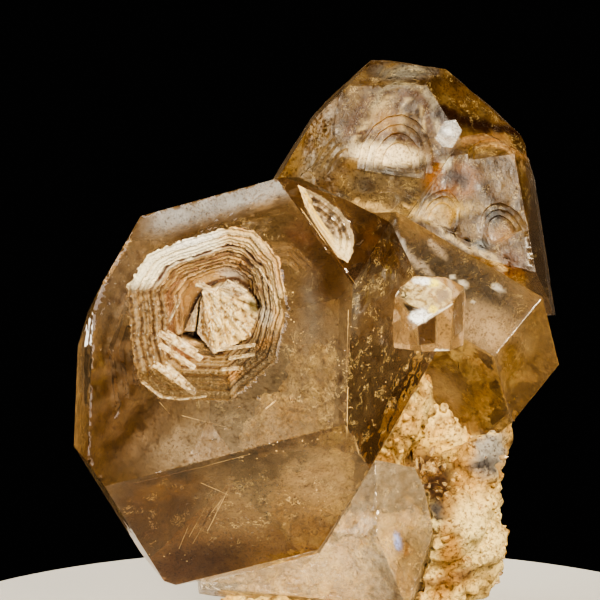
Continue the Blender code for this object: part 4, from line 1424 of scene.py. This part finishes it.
def make_matrix(finish):
    piece = copy_of_node("matrix", "matrix_druse")
    refine(piece, 0.95)
    skin = Skin(piece, MATRIX_CREAM, 0)
    # The broken base stays flat
    above = soft_step(skin.points[:, 2], 0.15, 1.5)
    lumps = skin.noise(2.0, 81, 4)
    grit = skin.noise(0.8, 82, 3)
    ridges = 1 - np.abs(skin.noise(1.3, 83, 2)) * 2.2
    skin.press(above * (0.30 - 0.75 * lumps - 0.34 * grit - 0.22 * ridges))
    pocket = paint_matrix(skin)
    skin.press(above * 0.5 * pocket)
    skin.write()
    smooth_below(piece, 45)
    settle(piece, finish, "tan_druse", "matrix")
    return piece


def weight_above(height, steepest):
    """A weight for random_places: 1 above that height, apart from faces that look down."""
    return lambda place, way: 1 if place.z > height * MM and way.z > steepest else 0


def make_matrix_grains(matrix, finish):
    picker = random.Random(5)
    grain = model_grain()
    places = random_places(matrix.data, MATRIX_GRAINS, picker, weight_above(1.2, -0.6))
    grains = [
        set_on(grain, place, way, picker.uniform(0.35, 0.95), picker, sunk=0.15)
        for place, way in places
    ]
    bpy.data.objects.remove(grain)
    piece = join(grains, "matrix_grains")
    skin = Skin(piece, MATRIX_CREAM, 0)
    paint_matrix(skin)
    skin.write()
    smooth_below(piece, 30)
    settle(piece, finish, "tan_druse")


def make_matrix_points(matrix, finish):
    """Tiny quartz points standing on the matrix, closest together in its dark pocket."""
    picker = random.Random(8)
    point = model_point()
    places = random_places(matrix.data, MATRIX_POINTS, picker, weight_above(1.5, -0.3))
    in_pocket = [(picker.gauss(431, 10), picker.gauss(474, 12)) for _ in range(POCKET_POINTS)]
    for x, y in in_pocket:
        found = spot_on(matrix, x, y)
        if found:
            places.append(found)
    points = [set_on(point, place, way, picker.uniform(0.5, 1.3), picker) for place, way in places]
    bpy.data.objects.remove(point)
    piece = join(points, "matrix_points")
    skin = Skin(piece, paint(150, 112, 64), 0.5)
    skin.lay(skin.noise(1.0, 91) > 0.1, paint(226, 196, 140), 0.6, spark=0.3)
    skin.write()
    settle(piece, finish, "clear_quartz")


# Lines of tiny chips and growths on the main crystal: both ends in the picture, how many, spread
CHIP_LINES = (
    ((225, 462), (345, 430), 46, 3), ((350, 280), (348, 425), 30, 3), ((288, 285), (300, 350), 12, 6),
    ((240, 480), (330, 500), 44, 14), ((362, 330), (392, 400), 40, 12), ((358, 300), (384, 325), 14, 7),
    ((134, 300), (146, 380), 12, 3), ((258, 232), (286, 300), 10, 3), ((105, 250), (135, 240), 8, 3),
    ((140, 540), (190, 560), 12, 5),
)

# Fine scratches, cracks and edge lights, the last being pale slivers painted as highlights along edges:
# both ends in the picture and the width in millimetres
SLIVERS = (
    ((182, 550), (206, 506), 0.07), ((199, 534), (212, 508), 0.24), ((200, 546), (226, 494), 0.09),
    ((188, 552), (204, 524), 0.05), ((176, 556), (186, 532), 0.06), ((210, 530), (219, 504), 0.06),
    ((110, 489), (190, 470), 0.09), ((190, 470), (240, 457), 0.08), ((190, 478), (226, 494), 0.07),
    ((226, 494), (212, 512), 0.07),
    ((292, 196), (322, 238), 0.10), ((322, 238), (349, 275), 0.12), ((349, 290), (347, 356), 0.10),
    ((348, 372), (347, 424), 0.12), ((262, 412), (274, 402), 0.18), ((352, 430), (358, 450), 0.16),
    ((300, 378), (338, 408), 0.06), ((156, 398), (168, 412), 0.06), ((168, 412), (214, 424), 0.06),
)
# The small quartz point is 0.44 units wide, so this makes a sliver about as wide as is asked
SLIVER_STRETCH = 2.2


def sliver(pattern, piece, start, end, wide):
    """A long thin sliver on a piece between two places in the picture, in a list; slivers are scratches,
    cracks and painted edge highlights.

    The list is empty where a place misses the piece.
    """
    first = spot_on(piece, *start)
    last = spot_on(piece, *end)
    if not first or not last:
        return []
    made = copied(pattern)
    way = last[0] - first[0]
    thickness = wide * SLIVER_STRETCH * MM
    made.matrix_world = (
        Matrix.Translation((first[0] + last[0]) / 2 - first[1] * 0.3 * wide * MM)
        @ way.to_track_quat("Z", "Y").to_matrix().to_4x4()
        @ Matrix.Diagonal((thickness, thickness, way.length, 1))
    )
    return [made]


def make_chips_and_edge_highlights(main, finish):
    picker = random.Random(11)
    point = model_point()
    slivers = [made for given in SLIVERS for made in sliver(point, main, *given)]
    bpy.data.objects.remove(point)
    grain = model_grain()
    chips = []
    for (ax, ay), (bx, by), count, spread in CHIP_LINES:
        for _ in range(count):
            along = picker.random()
            x = ax + (bx - ax) * along + picker.gauss(0, spread)
            y = ay + (by - ay) * along + picker.gauss(0, spread)
            found = spot_on(main, x, y)
            if found:
                chips.append(set_on(grain, *found, picker.uniform(0.07, 0.18), picker, sunk=0.3))
    bpy.data.objects.remove(grain)
    # The slivers along edges are painted edge highlights
    piece = join(chips + slivers, "crystal_chips_and_edge_highlights")
    skin = Skin(piece, paint(240, 210, 150), 0.6)
    skin.lay(skin.noise(2.0, 92) > 0.1, paint(110, 78, 46), 0.9)
    skin.write()
    settle(piece, finish, "clear_quartz")


def make_floor():
    bpy.ops.mesh.primitive_circle_add(
        vertices=96, radius=FLOOR_REACH * MM, fill_type="NGON", location=(0, 0, -FLOOR_DROP * MM)
    )
    floor = bpy.context.object
    floor.name = "floor"
    floor.data.materials.append(floor_finish())


def add_lamp(name, place, size, power, colour, seen_through, mirrored):
    """A round soft lamp that looks at the crystals."""
    lamp = bpy.data.lights.new(name, "AREA")
    lamp.shape = "DISK"
    lamp.size = size * MM
    lamp.energy = power
    lamp.color = colour
    box = bpy.data.objects.new(name, lamp)
    bpy.context.scene.collection.objects.link(box)
    box.location = Vector(place) * MM
    way = Vector(CAMERA_TARGET) - Vector(place)
    box.rotation_euler = way.to_track_quat("-Z", "Y").to_euler()
    box.visible_camera = False
    box.visible_transmission = seen_through
    box.visible_glossy = mirrored


def make_camera():
    camera = bpy.data.objects.new("camera", bpy.data.cameras.new("camera"))
    bpy.context.scene.collection.objects.link(camera)
    camera.data.sensor_width = SENSOR
    camera.data.lens = CAMERA_LENS
    camera.data.clip_start = 0.01
    camera.location = camera_place() * MM
    way = Vector(CAMERA_TARGET) - camera_place()
    camera.rotation_euler = way.to_track_quat("-Z", "Y").to_euler()
    bpy.context.scene.camera = camera


def make_world():
    world = bpy.data.worlds.new("studio")
    bpy.context.scene.world = world
    world.use_nodes = True
    background = world.node_tree.nodes["Background"]
    background.inputs["Color"].default_value = (WORLD_GREY, WORLD_GREY, WORLD_GREY, 1)
    background.inputs["Strength"].default_value = 1.0


make_floor()
make_camera()
make_world()
for lamp in LAMPS:
    add_lamp(*lamp)
bpy.context.scene.view_settings.look = TONES
bpy.context.scene.view_settings.exposure = EXPOSURE

smoky = quartz_finish("smoky_quartz_finish", SMOKE, 46.0, etching=0.5)
frosted = quartz_finish("frosted_quartz_finish", CLOUD, 22.0, etching=0.6, polish=0.08, swell=0.10)
etched = quartz_finish("etched_quartz_finish", SMOKE, 28.0, etching=1.1, polish=0.2, swell=0.15)
clear = quartz_finish("clear_quartz_finish", HONEY, 15.0, etching=0.9)
crust = crust_finish()
druse = druse_finish()
crystals = make_crystals(smoky, frosted, etched, clear)
sheet_over(
    "hopper_crust", HOPPER_AXES, HOPPER_WIDE, HOPPER_SQUARES, HOPPER_CRUST, carve_hopper, crust
)
sheet_over(
    "teardrop_crust", TEARDROP_AXES, TEARDROP_WIDE, TEARDROP_SQUARES, TEARDROP_CRUST,
    carve_teardrop, crust,
)
make_hopper_plates(frosted)
matrix = make_matrix(druse)
make_matrix_grains(matrix, druse)
make_matrix_points(matrix, clear)
make_chips_and_edge_highlights(crystals["main_crystal"], clear)
